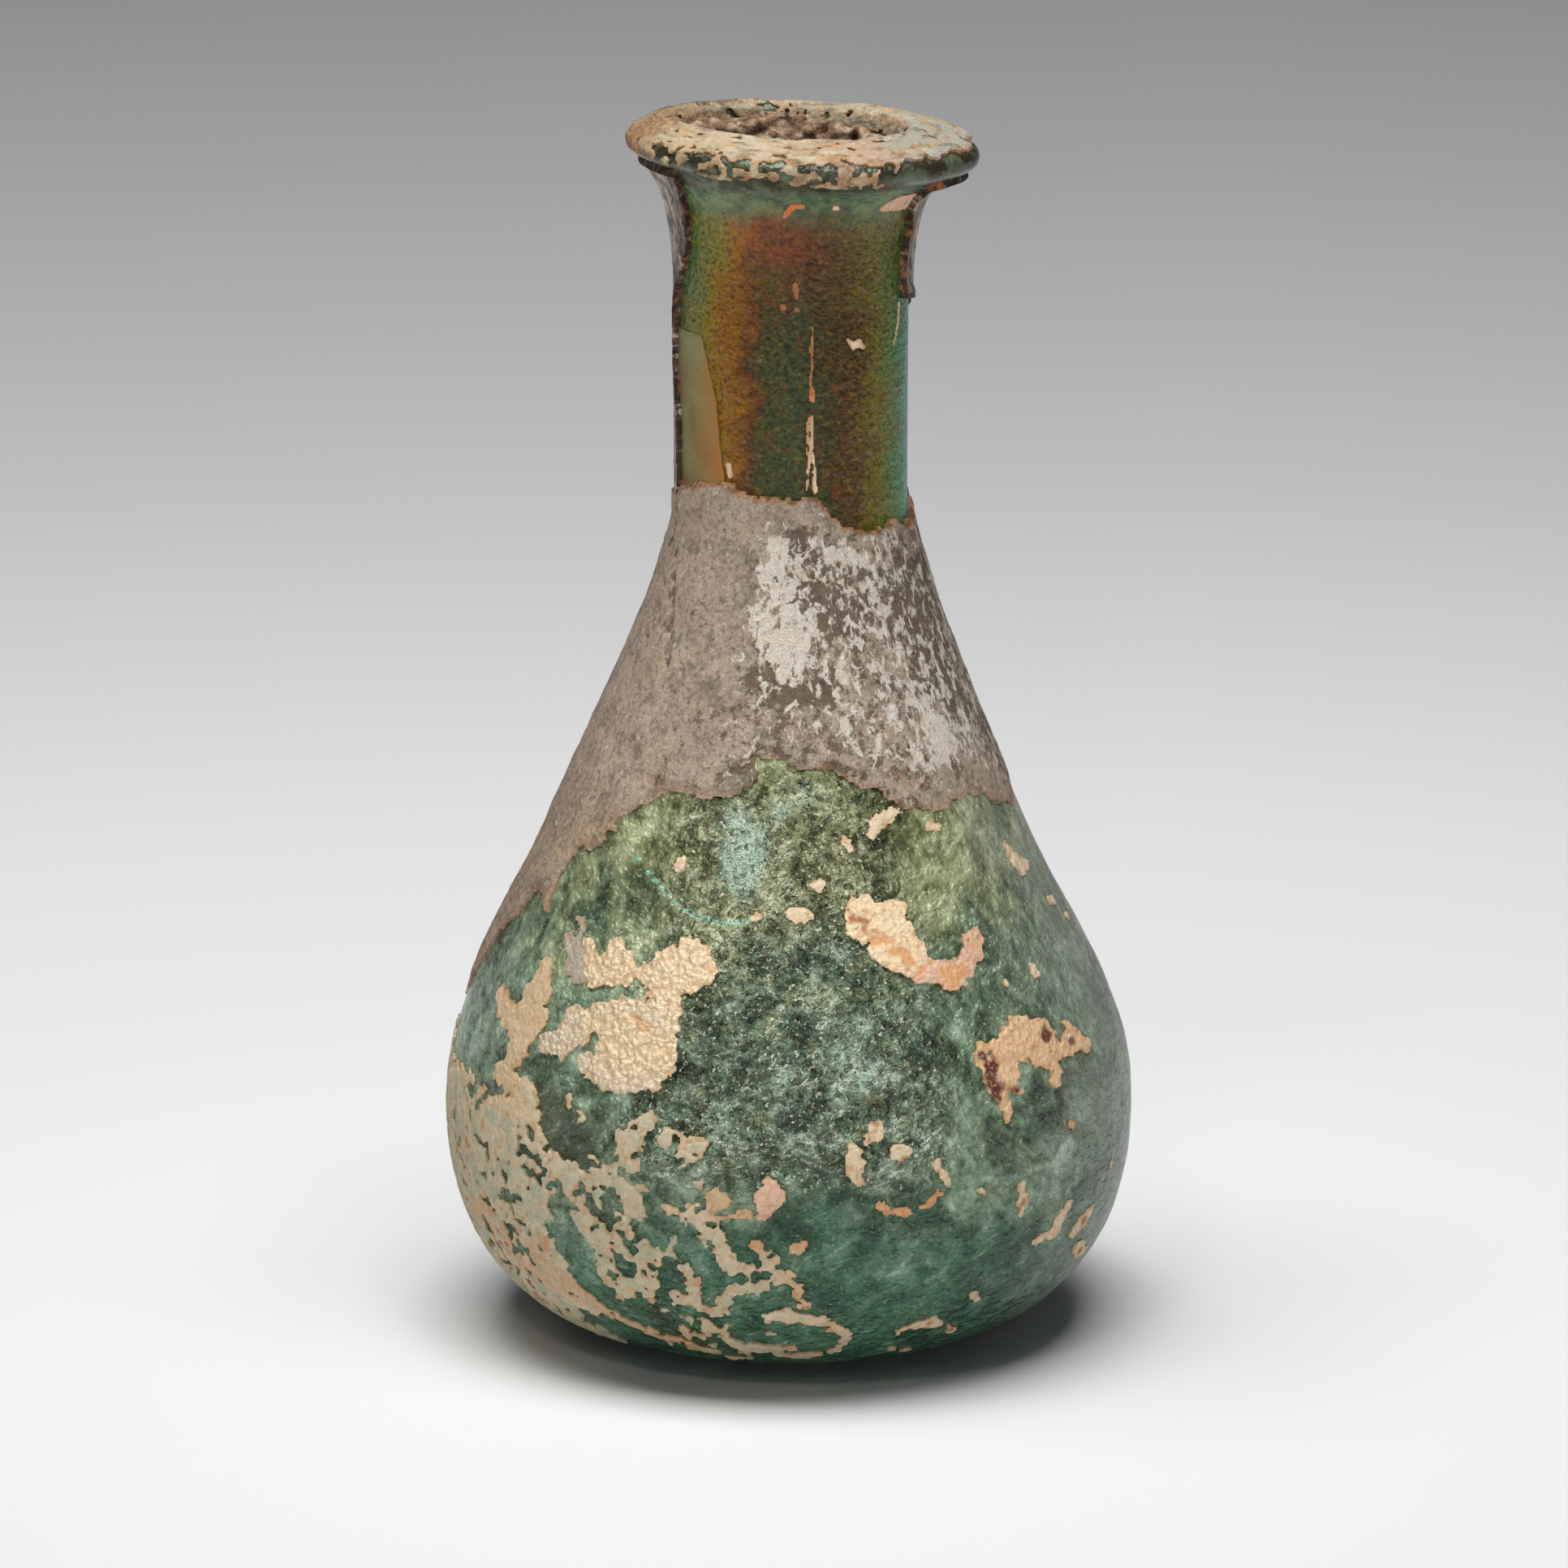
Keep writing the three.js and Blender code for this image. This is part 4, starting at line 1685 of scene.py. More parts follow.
    def marks(self, spots: Spots) -> dict[str, np.ndarray]:
        """Work out the crust's tint, its chalk, and its grime with painted shade along the grooves."""
        tint = np.tile(np.array(paint(196, 177, 158)), (len(spots.turns), 1))
        tint = wash(tint, paint(204, 179, 157), ease(-spots.turns, 28.0, 55.0))
        rusty = band(-spots.turns, 42.0, 52.0, 100.0, 130.0) * ease(50.0 - spots.heights, 0.0, 6.0)
        tint = wash(tint, paint(178, 150, 122), rusty)
        tint = wash(tint, paint(206, 172, 130), ease(spots.depth(self.drips), -0.6, 0.3))
        glassy = ease(spots.turns, -20, -15) * ease(-spots.turns, -7, -2)
        glassy = glassy * ease(52.2 - spots.heights, 0.0, 1.4)
        tint = wash(tint, paint(112, 122, 106), glassy)
        zone = ease(spots.turns + 9.0 * spots.grain(2.4, 3, 15.0), -19.0, -9.0)
        zone = zone * ease(146.0 + 24.0 * spots.grain(4.5, 3, 18.0) - spots.turns, 0.0, 64.0)
        zone = zone * ease(69.5 - spots.heights, 0.0, 3.0)
        zone = zone * ease(spots.heights - spots.line(self.bottom), 1.0, 3.6)
        chalk = 0.4 * zone + 0.16 * ease(spots.depth(self.chalky), -1.4, 1.4)
        chalk = chalk + 0.5 * ease(spots.depth(self.solid), -0.9, 0.9)
        below = ease(spots.turns, -50.0, -20.0) * ease(60.0 - spots.heights, 0.0, 6.0)
        grime_and_groove_shade = 0.46 * zone + 0.24 * below * (1 - zone)
        # Painted shade: the grooves are darkened as well as cut into the crust.
        grime_and_groove_shade = grime_and_groove_shade + 0.5 * ease(spots.depth(self.groove), -0.5, 0.1)
        grime_and_groove_shade = grime_and_groove_shade + 0.55 * ease(spots.depth(self.grimy), -1.4, 1.0)
        return {"tint": tint, "chalk": chalk, "grime_and_groove_shade": grime_and_groove_shade}


@dataclass
class NeckSkin(Layer):
    """The skin that peels from the sides and the back of the neck."""

    name: str = "neck_skin"
    slot: str = "skin"
    thickness: float = 0.4
    left: tuple[tuple[float, float], ...] = (
        (70, -72), (77, -72), (79, -75), (82, -80), (86, -80), (88, -71), (90.5, -61), (92, -57),
        (94, -55), (97.5, -51),
    )
    right: tuple[tuple[float, float], ...] = ((86, 68), (90, 65), (93, 66), (95, 62), (98, 57))
    hem: tuple[tuple[float, float], ...] = (
        (60, 86.8), (75, 86.9), (100, 86.0), (118, 84), (135, 78), (150, 72), (180, 66), (288, 66),
    )

    def cover(self, spots: Spots) -> np.ndarray:
        """Measure how deep inside the skin's outline each place is."""
        torn = spots.shifted(0.9, 0.4, 3.0)
        round_back = torn.turns % 360
        per_degree = math.pi / 180 * torn.radii
        left = np.interp(torn.heights, *zip(*self.left)) % 360
        right = np.interp(torn.heights, *zip(*self.right))
        hem = np.interp(round_back, *zip(*self.hem))
        sides = np.minimum(left - round_back, round_back - right) * per_degree
        inside = np.minimum(np.minimum(sides, torn.heights - hem), self.high - spots.arcs)
        return inside + 0.16 * spots.grain(1.2, 3) + 0.1 * spots.grain(3.4)

    def lift(self, spots: Spots, cover: np.ndarray) -> np.ndarray:
        """Work out how far the skin stands off, curling away at its torn edges."""
        curl = 0.22 * ease(1.6 - cover, 0.0, 1.5)
        waves = 0.07 * spots.grain(3.0, 2, 6.0) + 0.03 * spots.grain(0.7)
        return np.maximum(self.thickness + curl + waves, 0.2)

    def marks(self, spots: Spots) -> dict[str, np.ndarray]:
        """Work out the skin's tint: cream-grey, with brown at the flare on the left."""
        tint = np.tile(np.array(paint(176, 166, 150)), (len(spots.turns), 1))
        brown = band(-spots.turns, 48.0, 52.0, 61.0, 66.0) * ease(spots.heights, 89.0, 91.5)
        return {"tint": wash(tint, paint(74, 52, 38), brown)}


@dataclass
class NeckPlate(Layer):
    """The thin glassy plate left on the lower left of the neck."""

    name: str = "neck_plate"
    slot: str = "glass"
    thickness: float = 0.14
    sink: float = 0.1
    crack: tuple[tuple[float, float], ...] = (
        (69, -35), (73, -36), (75, -38), (79, -41), (82, -46.5), (84.3, -52), (84.6, -90),
    )

    def cover(self, spots: Spots) -> np.ndarray:
        """Measure how deep inside the plate's outline each place is."""
        per_degree = math.pi / 180 * spots.radii
        side = np.interp(spots.heights, *zip(*self.crack)) - spots.turns
        inside = np.minimum(side * per_degree, 84.3 - spots.heights)
        return inside + 0.06 * spots.grain(1.0, 2)


@dataclass
class Flakes(Layer):
    """Flakes of crust left on the belly, each brushed and then chipped along its edge."""

    slot: str = "skin"
    patches: tuple[Stroke, ...] = ()
    bites: tuple[Stroke, ...] = ()
    stains: tuple[Stroke, ...] = ()
    chip: float = 0.7
    chipped: float = 0.8
    ragged: float = 0.3
    pebble: float = 0.05
    gilt: float = 0.3

    def cover(self, spots: Spots) -> np.ndarray:
        """Measure how deep inside the flakes' outlines each place is."""
        broken = spots.shifted(self.chip, self.chipped, 11.0).shifted(self.chip * 0.45, 0.5, 5.0)
        inside = broken.depth(self.patches)
        if self.bites:
            inside = np.minimum(inside, -broken.depth(self.bites))
        return inside + self.ragged * (0.7 * broken.grain(1.5, 3, 2.0) + 0.4 * spots.grain(0.6, 2, 9.0))

    def lift(self, spots: Spots, cover: np.ndarray) -> np.ndarray:
        """Work out how far the flakes stand off, with their pebbled tops."""
        body = self.thickness * (0.6 + 0.4 * ease(cover, 0.0, 0.5))
        return np.maximum(body + self.pebble * spots.grain(1.1, 2, 8.0), 0.09)

    def marks(self, spots: Spots) -> dict[str, np.ndarray]:
        """Work out the flakes' tints and how gilt they are."""
        _, tint = spots.depth_and_tone(self.patches)
        gilt = np.full(len(spots.turns), self.gilt)
        if self.stains:
            depth, stain = spots.depth_and_tone(self.stains)
            share = ease(depth + 0.45 * spots.grain(0.8, 3), -0.15, 0.25)
            tint = wash(tint, stain, share)
            gilt = gilt * (1 - share)
        return {"tint": tint, "gilt": gilt}


@dataclass
class HeelCrust(Flakes):
    """The lacy crust round the heel, with a field of it on the left and the back."""

    slot: str = "crust"
    front: bool = True
    field_low: float = 2.6

    def cover(self, spots: Spots) -> np.ndarray:
        """Measure how deep inside the lace's outline each place is."""
        holes = 0.42 + 1.1 * spots.grain(1.1, 3, 41.0)
        inside = np.minimum(super().cover(spots) + 0.12, holes)
        broken = spots.shifted(0.8, 0.5, 21.0)
        lace = 0.5 * broken.grain(3.4, 3, 13.0) + 0.95 * spots.grain(0.9, 3, 31.0)
        away = broken.turns % 360
        if self.front:
            side = 0.45 * ease(-broken.turns, -4.0, 14.0) + 0.6 * ease(-broken.turns, 36.0, 50.0)
            reach = ease(26.0 + 3 * broken.grain(5.0) - broken.heights, 0.0, 5.0)
        else:
            side = 0.62 * ease(away - 16.0 * broken.grain(6.0, 2, 61.0), 96.0, 132.0)
            reach = ease(22.0 + 12 * broken.grain(16.0, 2, 5.0) - broken.heights, 0.0, 8.0)
        share = side * reach * ease(broken.heights, self.field_low - 1.6, self.field_low)
        field_cover = (lace + 1.35 * share - 1.04) * 1.6
        return np.maximum(inside, field_cover)

    def marks(self, spots: Spots) -> dict[str, np.ndarray]:
        """Work out the lace's tints: sage, cream and rusty places."""
        found = super().marks(spots)
        depth = spots.depth(self.patches)
        wide = ease(-depth, -0.2, 1.0)
        choice = spots.grain(1.8, 4, 17.0)
        tone = wash(np.array(Tone.SAGE.value), Tone.CREAM.value, ease(choice, -0.35, 0.1))
        tone = wash(tone, Tone.ORANGE.value, 0.7 * ease(choice, 0.3, 0.8))
        dulled = 0.84 - wide[:, None] * np.array((0.09, 0.04, 0.05, 0.0))
        found["tint"] = wash(found["tint"], tone, 0.5 + 0.5 * wide) * dulled
        return found


@dataclass
class LipCrust(Layer):
    """The crust on the lip, streaked along the rim."""

    name: str = "lip_crust"
    cell: float = 0.2
    thickness: float = 0.26
    outer: tuple[tuple[float, float], ...] = (
        (-180, -3.0), (-150, -3.6), (-125, -3.1), (-100, -4.2), (-80, -5.4), (-60, -5.3),
        (-42, -5.8), (-30, -6.2), (-12, -6.0), (0, -6.4), (10, -6.8), (18, -6.3), (25, -6.7),
        (30, -5.0), (36, -3.6), (50, -3.9), (62, -3.3), (75, -3.9), (90, -3.6), (110, -4.0),
        (140, -3.3), (160, -3.7),
    )

    def reach(self, spots: Spots) -> np.ndarray:
        """Read how far into the mouth from the crest each place is."""
        return spots.arcs - self.form.ends["crest"]

    def enamel(self, spots: Spots) -> np.ndarray:
        """Read how much of the smooth enamel on the right of the rim each place has."""
        return band(spots.turns, 33.0, 38.0, 102.0, 112.0)

    def cover(self, spots: Spots) -> np.ndarray:
        """Measure how deep inside the crust's outline each place is."""
        broken = spots.shifted(0.8, 0.45, 9.0)
        inside = self.reach(broken) - broken.line(self.outer)
        patchy = 0.55 + 0.9 * spots.grain(2.6, 3, 19.0) + 0.6 * spots.grain(0.8, 1, 5.0)
        flaking = ease(-2.9 - self.reach(broken), 0.0, 1.6)
        flaking = flaking * ease(58.0 - np.abs(spots.turns + 8.0), 0.0, 10.0)
        holes = 0.95 * spots.grain(0.75, 3, 27.0, along=1.7) + 0.55 - 0.55 * flaking
        inside = np.minimum(inside, holes)
        behind = ease(np.abs(spots.turns), 105.0, 125.0)
        inside = np.minimum(inside, 99 * (1 - behind) + patchy)
        return np.minimum(inside, 1.8 - self.reach(spots)) + 0.12 * spots.grain(0.6, 3)

    def lift(self, spots: Spots, cover: np.ndarray) -> np.ndarray:
        """Work out how far the crust stands off, streaked round the rim."""
        streaks = 0.07 * spots.grain(0.4, 2, 3.0, along=14.0)
        enamel = self.enamel(spots)
        body = self.thickness * (0.5 + 0.5 * ease(cover, 0.0, 0.4)) + 0.12 * enamel
        bulge = 0.3 * band(spots.turns, 92.0, 112.0, 140.0, 160.0)
        return np.maximum(body + streaks * (1 - 0.7 * enamel) + bulge, 0.1)

    def marks(self, spots: Spots) -> dict[str, np.ndarray]:
        """Work out the crust's tints round the rim."""
        stops = (
            (-170, (163, 151, 125)), (-130, (142, 127, 105)), (-100, (151, 127, 94)),
            (-82, (120, 89, 59)), (-68, (133, 102, 67)), (-56, (163, 151, 121)),
            (-20, (175, 163, 137)), (10, (170, 153, 127)), (22, (170, 143, 121)),
            (33, (163, 142, 120)), (40, (145, 146, 133)), (95, (147, 149, 137)),
            (115, (156, 147, 125)), (150, (159, 146, 120)),
        )
        turns = [turn for turn, _ in stops]
        linear = np.array([paint(*colour) for _, colour in stops])
        tint = np.stack([np.interp(spots.turns, turns, linear[:, i], period=360) for i in range(4)], axis=-1)
        streak = 0.65 * ease(spots.grain(0.45, 2, 40.0, along=16.0), 0.05, 0.5)
        tint = wash(tint, paint(160, 128, 84), streak)
        low = ease(-2.4 - self.reach(spots), 0.0, 1.2) * ease(40.0 - np.abs(spots.turns + 4.0), 0.0, 20.0)
        worn = 0.8 * low * ease(spots.grain(0.9, 3, 71.0, along=2.0), -0.1, 0.35)
        tint = wash(tint, paint(124, 92, 60), worn)
        burnt = ease(-0.1 - 1.2 * spots.grain(1.6, 3, 52.0) - self.reach(spots), 0.0, 0.5)
        burnt = 0.85 * burnt * band(-spots.turns, 92.0, 110.0, 158.0, 174.0)
        tint = wash(tint, paint(52, 30, 24), burnt)
        dirty = 0.7 * ease(spots.grain(0.6, 3, 88.0, along=3.0), 0.2, 0.5)
        tint = wash(tint, paint(96, 76, 56), dirty)
        return {"tint": tint, "gilt": 0.12 * (1 - self.enamel(spots))}


@dataclass
class MouthSoil(Layer):
    """The lumps of soil that cling inside the mouth."""

    name: str = "mouth_soil"
    slot: str = "soil"
    thickness: float = 0.75

    def cover(self, spots: Spots) -> np.ndarray:
        """Measure how deep inside the soil's outline each place is."""
        reach = spots.arcs - self.form.ends["crest"]
        upper = reach - 1.3 - 0.5 * spots.grain(2.2, 3, 1.0)
        lower = self.high - spots.arcs - 1.2 - 1.6 * spots.grain(3.0, 3, 2.0)
        return np.minimum(upper, lower)

    def lift(self, spots: Spots, cover: np.ndarray) -> np.ndarray:
        """Work out how far the lumps stand off."""
        lumps = 0.75 + 0.75 * spots.grain(2.0, 4, 6.0) + 0.4 * spots.grain(0.8, 2, 3.0)
        body = self.thickness * np.maximum(lumps, 0.25)
        return 0.12 + body * ease(cover, 0.0, 0.9)


# ---- Where the flakes lie ---------------------------------------------------

GILT_PATCHES = (
    *strokes(
        Tone.GILT,
        ((-45.5, 36.2, 0.5), (-43.5, 35.2, 0.6), (-41, 33.8, 0.9)),
        ((-41, 33.9, 1.0), (-37.5, 34.8, 1.6), (-34, 34.6, 1.2)),
        ((-37.5, 36.2, 0.9), (-35, 35.2, 1.2)),
        ((-30, 34.9, 0.5), (-26, 35.4, 1.2), (-21, 35.8, 1.9), (-17.5, 35.4, 1.3)),
        ((-21, 37, 0.9), (-18.5, 36.6, 0.8)),
        ((-26, 34.3, 1.2), (-23.5, 33.1, 1.2), (-22.4, 31.4, 0.9)), ((-20.5, 34.2, 1.0), (-18, 34.6, 0.8)),
        ((-32.5, 34.8, 0.5), (-29, 34.6, 0.5)),
        ((-39, 30.5, 1.2), (-35.5, 30.8, 2.0), (-30, 29, 2.4), (-25, 28.8, 2.2)),
    ),
    *strokes(
        Tone.PEARL,
        ((-47.5, 28.2, 1.0), (-44.5, 28.6, 1.4), (-42, 29.5, 1.6)),
        ((-43, 30.5, 1.2),),
        ((-37, 31.5, 1.0), (-33, 31.9, 0.8), (-28.5, 32.3, 0.8), (-24.5, 31.4, 0.8),
         (-22.5, 30.2, 0.6)),
        ((-38, 27.5, 0.9), (-34, 26.8, 1.0), (-31, 26.2, 0.9), (-24, 27.2, 1.0)),
    ),
    *strokes(
        Tone.ORANGE,
        ((-38.5, 29.3, 0.5), (-35, 30, 0.5)),
        ((-33, 31.2, 0.4), (-29, 31.4, 0.5), (-25.5, 30.6, 0.4)),
    ),
)
BEIGE_PATCHES = (
    *strokes(
        Tone.GREY,
        ((-50.5, 37.6, 0.4), (-48, 37, 0.5)),
        ((-51, 36, 0.8), (-48, 35.2, 1.0), (-45, 33.6, 1.1)),
    ),
    *strokes(
        Tone.BEIGE,
        ((-55, 33.4, 1.0), (-54.5, 31.5, 1.9)),
        ((-66.5, 30.3, 0.8), (-64, 29.3, 1.0), (-60, 29, 1.3), (-55, 29, 2.0), (-51.5, 30, 1.0)),
        ((-55, 27.3, 1.4), (-56, 25.2, 1.0)),
        ((-58.5, 24.7, 1.0), (-53, 24.2, 1.2), (-51, 23, 1.0)),
        ((-61, 21.8, 0.6), (-57, 22, 0.9), (-53, 22.6, 1.0), (-50, 22, 0.9)),
        ((-65, 22, 0.4), (-63, 23, 0.4)),
    ),
)
GILT_BITES = strokes(
    Tone.BROWN,
    ((-37.3, 29.6, 0.35),), ((-29, 33.4, 0.6),), ((-55.5, 25.5, 0.3), (-53, 25.4, 0.5)),
    ((54.5, 28.8, 0.4), (56, 28.4, 0.4)),
)
RIGHT_PATCHES = (
    *strokes(
        Tone.GILT,
        ((14.5, 39.6, 0.8), (16, 38.5, 1.2)),
        ((18, 39.3, 1.2), (21.5, 38.8, 1.5), (24, 38.1, 1.5), (25, 36.9, 1.6)),
        ((20, 36.7, 1.2), (24, 36.3, 1.5), (27, 36, 1.4)),
        ((15, 40.3, 0.5), (18.5, 40.5, 0.4)),
        ((22, 40.1, 0.5), (27, 39.6, 0.6)),
    ),
    *strokes(
        Tone.PINK,
        ((28, 35, 1.2), (31.5, 34.6, 1.1), (35, 34.4, 1.0), (38, 35, 0.9), (41, 35.8, 0.9),
         (43, 36.7, 0.6)),
        ((31.5, 33.8, 0.6), (34.5, 33.7, 0.5)),
        ((40, 36.5, 0.6), (43, 37.3, 0.5)),
    ),
    *strokes(
        Tone.TAN,
        ((35.5, 28.3, 0.7), (37, 27, 1.0), (37.5, 25.6, 0.9), (38.5, 24.3, 0.7), (39, 23.3, 0.4)),
        ((38, 28.7, 0.6), (41, 28, 1.4), (45, 28.8, 1.7), (49, 28.6, 1.6), (52, 28.2, 1.4)),
        ((44.5, 30.1, 0.6), (48, 29.8, 0.6)),
        ((40.5, 26.5, 0.9), (41.5, 25.1, 0.6), (43, 24.8, 0.3)),
        ((48, 26.9, 0.9), (51, 26.9, 0.9), (52, 25.6, 0.6), (51, 24.6, 0.4)),
        ((54, 26.9, 0.8), (57.5, 27.2, 0.9), (60, 27.4, 1.0), (62.5, 26.6, 0.6), (65, 26.1, 0.3)),
        ((58, 28.8, 0.6), (59.5, 28.3, 0.5)),
    ),
)
STAINS = (
    *strokes(
        Tone.MAROON,
        ((36, 28, 0.5), (37.2, 27.2, 0.8), (37.2, 25.8, 0.7), (37, 24.8, 0.6)),
        ((51.8, 28.3, 0.7),), ((58, 27.2, 0.4),), ((53.6, 25.8, 0.3),), ((41, 25, 0.35),),
    ),
    *strokes(Tone.RUST, ((15, 39.4, 0.5), (17, 38.8, 0.4)), ((14.6, 38.2, 0.25),)),
    *strokes(
        Tone.ORANGE,
        ((33, 34, 1.0), (36, 34.5, 0.8)), ((21, 37.6, 0.5), (24, 36.2, 0.5), (27, 35.2, 0.4)),
        ((17, 38, 0.4), (19.5, 37.4, 0.4)), ((42, 36.2, 0.5),), ((30, 35.6, 0.3),),
    ),
)
SMALL_PATCHES = (
    *strokes(
        Tone.CREAM,
        ((-26.5, 43, 0.6),), ((-7, 39.5, 0.35),), ((1.6, 39.8, 0.7), (3.4, 39.7, 0.8)),
        ((7.5, 41.8, 0.6),), ((-14, 38.5, 0.3),),
        ((21, 45.4, 0.3), (24, 46.2, 0.7), (28, 46.9, 0.6)),
        ((14, 45.2, 0.35), (15, 44.6, 0.3)),
        ((37.5, 45.2, 0.3), (40, 45.4, 0.5), (42.5, 45.2, 0.3)),
        ((64.5, 42.2, 0.4), (66.5, 41.2, 0.8), (68.5, 40.4, 0.8)),
        ((72, 40.2, 0.5),), ((76, 36.8, 0.5),), ((81, 35, 0.5),),
        ((55, 33.2, 0.55),), ((46.5, 34, 0.2), (46.6, 33, 0.35)), ((41, 32.2, 0.3),),
        ((14.2, 24, 0.5), (13.8, 23.2, 0.7), (12.6, 22.6, 0.4)),
        ((10.5, 22.4, 0.6), (10.2, 21, 0.9), (10.9, 19.6, 0.5)),
        ((17.8, 21.8, 0.7), (19.2, 21.4, 0.6)),
        ((24.5, 20.4, 0.4), (26, 19.4, 0.45), (26.5, 18.6, 0.3)),
        ((33, 17.6, 0.4),),
        ((41.4, 17.2, 0.6), (41.6, 16, 0.5), (41.5, 14.9, 0.3)),
        ((68, 15.8, 0.5),), ((46, 12, 0.4), (48.6, 12.2, 0.5)),
        ((50, 11.8, 0.5), (51.5, 13, 0.6), (53.5, 14.1, 0.5)),
        ((57, 11.4, 0.6), (59.5, 12, 0.8), (62, 12.6, 0.5)),
        ((60, 9.8, 0.5), (63, 9, 0.8), (66, 8.3, 0.4)),
        ((35, 7.9, 0.5), (36, 7.5, 0.3)),
        ((24, 5.8, 0.5), (27.5, 5.9, 0.7), (30, 5.5, 0.4)),
        ((22, 5.5, 0.25), (20, 4.2, 0.2), (22.5, 2.8, 0.2), (30, 2.4, 0.2)),
        ((32, 5.2, 0.3), (34, 4.4, 0.45)),
    ),
    *strokes(
        Tone.PINK,
        ((-3.5, 19.6, 0.7), (-3.3, 18.4, 1.2), (-4.2, 17.3, 0.8)),
        ((2.1, 9.3, 0.4), (2.3, 8.8, 0.7)),
    ),
    *strokes(
        Tone.ORANGE,
        ((14.5, 17.4, 0.3), (16, 16.9, 0.35), (19.5, 16.7, 0.3)),
        ((22, 17, 0.3), (25, 17.8, 0.35)),
        ((54, 21, 0.4),),
        ((-12, 24.5, 0.3), (-11.5, 25.1, 0.25)),
    ),
)
SMALL_STAINS = strokes(
    Tone.RUST,
    ((18.2, 21.9, 0.2),), ((18.9, 21.2, 0.22),), ((15, 24.1, 0.3),), ((13.1, 22.9, 0.2),),
    ((41.5, 15.6, 0.3),), ((59.4, 12, 0.5),), ((62.6, 9.1, 0.4),), ((35, 7.9, 0.25),),
    ((27.3, 5.8, 0.35),), ((33.6, 4.6, 0.3),), ((2.4, 8.6, 0.3),),
)
LACE = (
    *strokes(
        Tone.SAGE,
        ((-24, 24, 0.5), (-26, 23, 0.8), (-28, 22, 1.0), (-27.5, 20, 1.0), (-27, 18, 1.3),
         (-26, 16.5, 1.0)),
        ((-39, 18.5, 0.8), (-35, 18.8, 0.7), (-31, 19, 0.8), (-28, 19, 1.0)),
        ((-39, 17.5, 0.8),),
        ((-36.3, 16.5, 0.5), (-37, 15, 0.8), (-36, 14, 0.9), (-34, 14.2, 0.9), (-32.5, 13.5, 0.8)),
        ((-29, 14.5, 0.5), (-29.5, 13, 0.5)),
        ((-33, 12, 0.8), (-33, 10.5, 0.9), (-31, 9, 0.8), (-30.5, 7.7, 0.5)),
        ((-29, 9.8, 0.5), (-27, 9.3, 0.4), (-25.5, 8.7, 0.3)),
        ((-25, 13.3, 0.6), (-25.5, 12, 0.7), (-25.5, 10.6, 0.8), (-24, 9.7, 0.5)),
        ((-21, 13, 0.3), (-19, 12.2, 0.5), (-17, 11.2, 0.4), (-16.5, 9.5, 0.4), (-17, 8.8, 0.6),
         (-15.5, 8, 0.5), (-15.3, 6, 0.5), (-16, 5.5, 0.4)),
        ((-20, 8.9, 0.6), (-18, 8.8, 0.6)),
        ((-13, 8, 0.4), (-11, 9.3, 0.6), (-9, 10.2, 0.5), (-5, 10.3, 0.4), (-2.5, 11, 0.3)),
        ((-9, 4.3, 0.5), (-4, 4, 0.5), (0, 4.2, 0.3)),
        ((-6, 5.5, 0.4), (-2, 5.8, 0.25), (2, 6, 0.2)),
    ),
    *strokes(
        Tone.CREAM,
        ((-20, 22.6, 0.9), (-17, 22, 1.1), (-14.5, 22.2, 0.6)),
        ((-20, 16.8, 0.6), (-17, 17, 0.6), (-14.5, 16.2, 0.8), (-12.5, 14.8, 0.8),
         (-11, 13.2, 0.6), (-9.5, 12.2, 0.6), (-7, 12, 0.5), (-4.5, 12.3, 0.4), (-2.5, 12.6, 0.3)),
        ((-3.5, 7.5, 0.6), (-1, 7.8, 0.8), (2, 7.2, 0.5), (5, 7.2, 0.6), (7.5, 6.6, 0.6),
         (10, 6, 0.5), (11, 5, 0.4), (9.5, 3.8, 0.5), (6, 3.3, 0.5), (2, 2.9, 0.5),
         (-2, 3.1, 0.5), (-6, 3.6, 0.6), (-9, 4, 0.5), (-12, 4.5, 0.5), (-13, 5.5, 0.4)),
        ((-50, 24, 0.8), (-45, 20.5, 0.8), (-40, 18.3, 0.7)),
        ((-45, 6.5, 0.7), (-40, 6, 0.7)),
    ),
    *strokes(
        Tone.ORANGE,
        ((-12, 18.2, 0.7), (-9.5, 17.4, 0.6), (-7, 16.8, 0.4)),
        ((-6, 14.3, 0.35), (-3.5, 13.5, 0.45), (-2.7, 12.6, 0.35)),
        ((1, 14, 0.5), (2, 14.4, 0.3)),
        ((-1, 11.7, 0.35), (1, 11, 0.4), (1.3, 10, 0.35), (2.2, 9.2, 0.6)),
        ((-50, 10.5, 0.5), (-46, 9.5, 0.5), (-42, 8.3, 0.5), (-39, 7, 0.6), (-36, 6, 0.6),
         (-33, 5.7, 0.6), (-30, 5.2, 0.5), (-27, 4.5, 0.5), (-23, 4.3, 0.5), (-19, 3.5, 0.5),
         (-15, 3, 0.4)),
        ((-20, 5.5, 0.5), (-18, 5.2, 0.4)),
        ((-70, 12, 0.7), (-62, 12.5, 0.7), (-58, 11, 0.5)),
        ((-55, 9, 0.6), (-50, 8.3, 0.6), (-45, 7.5, 0.5)),
    ),
)
LACE_BITES = strokes(
    Tone.BROWN,
    ((-33, 16.2, 1.5),), ((-25, 7, 1.3),), ((-41.5, 22.4, 2.4), (-36, 21.2, 2.0)),
    ((-40.5, 12, 1.7),), ((-54, 11.3, 1.0),), ((-19, 11, 0.6),), ((-17, 22.3, 0.3),),
    ((-56, 17.5, 1.6), (-54, 15.5, 1.4)), ((-67, 18, 1.6), (-66, 14.5, 1.4)),
)
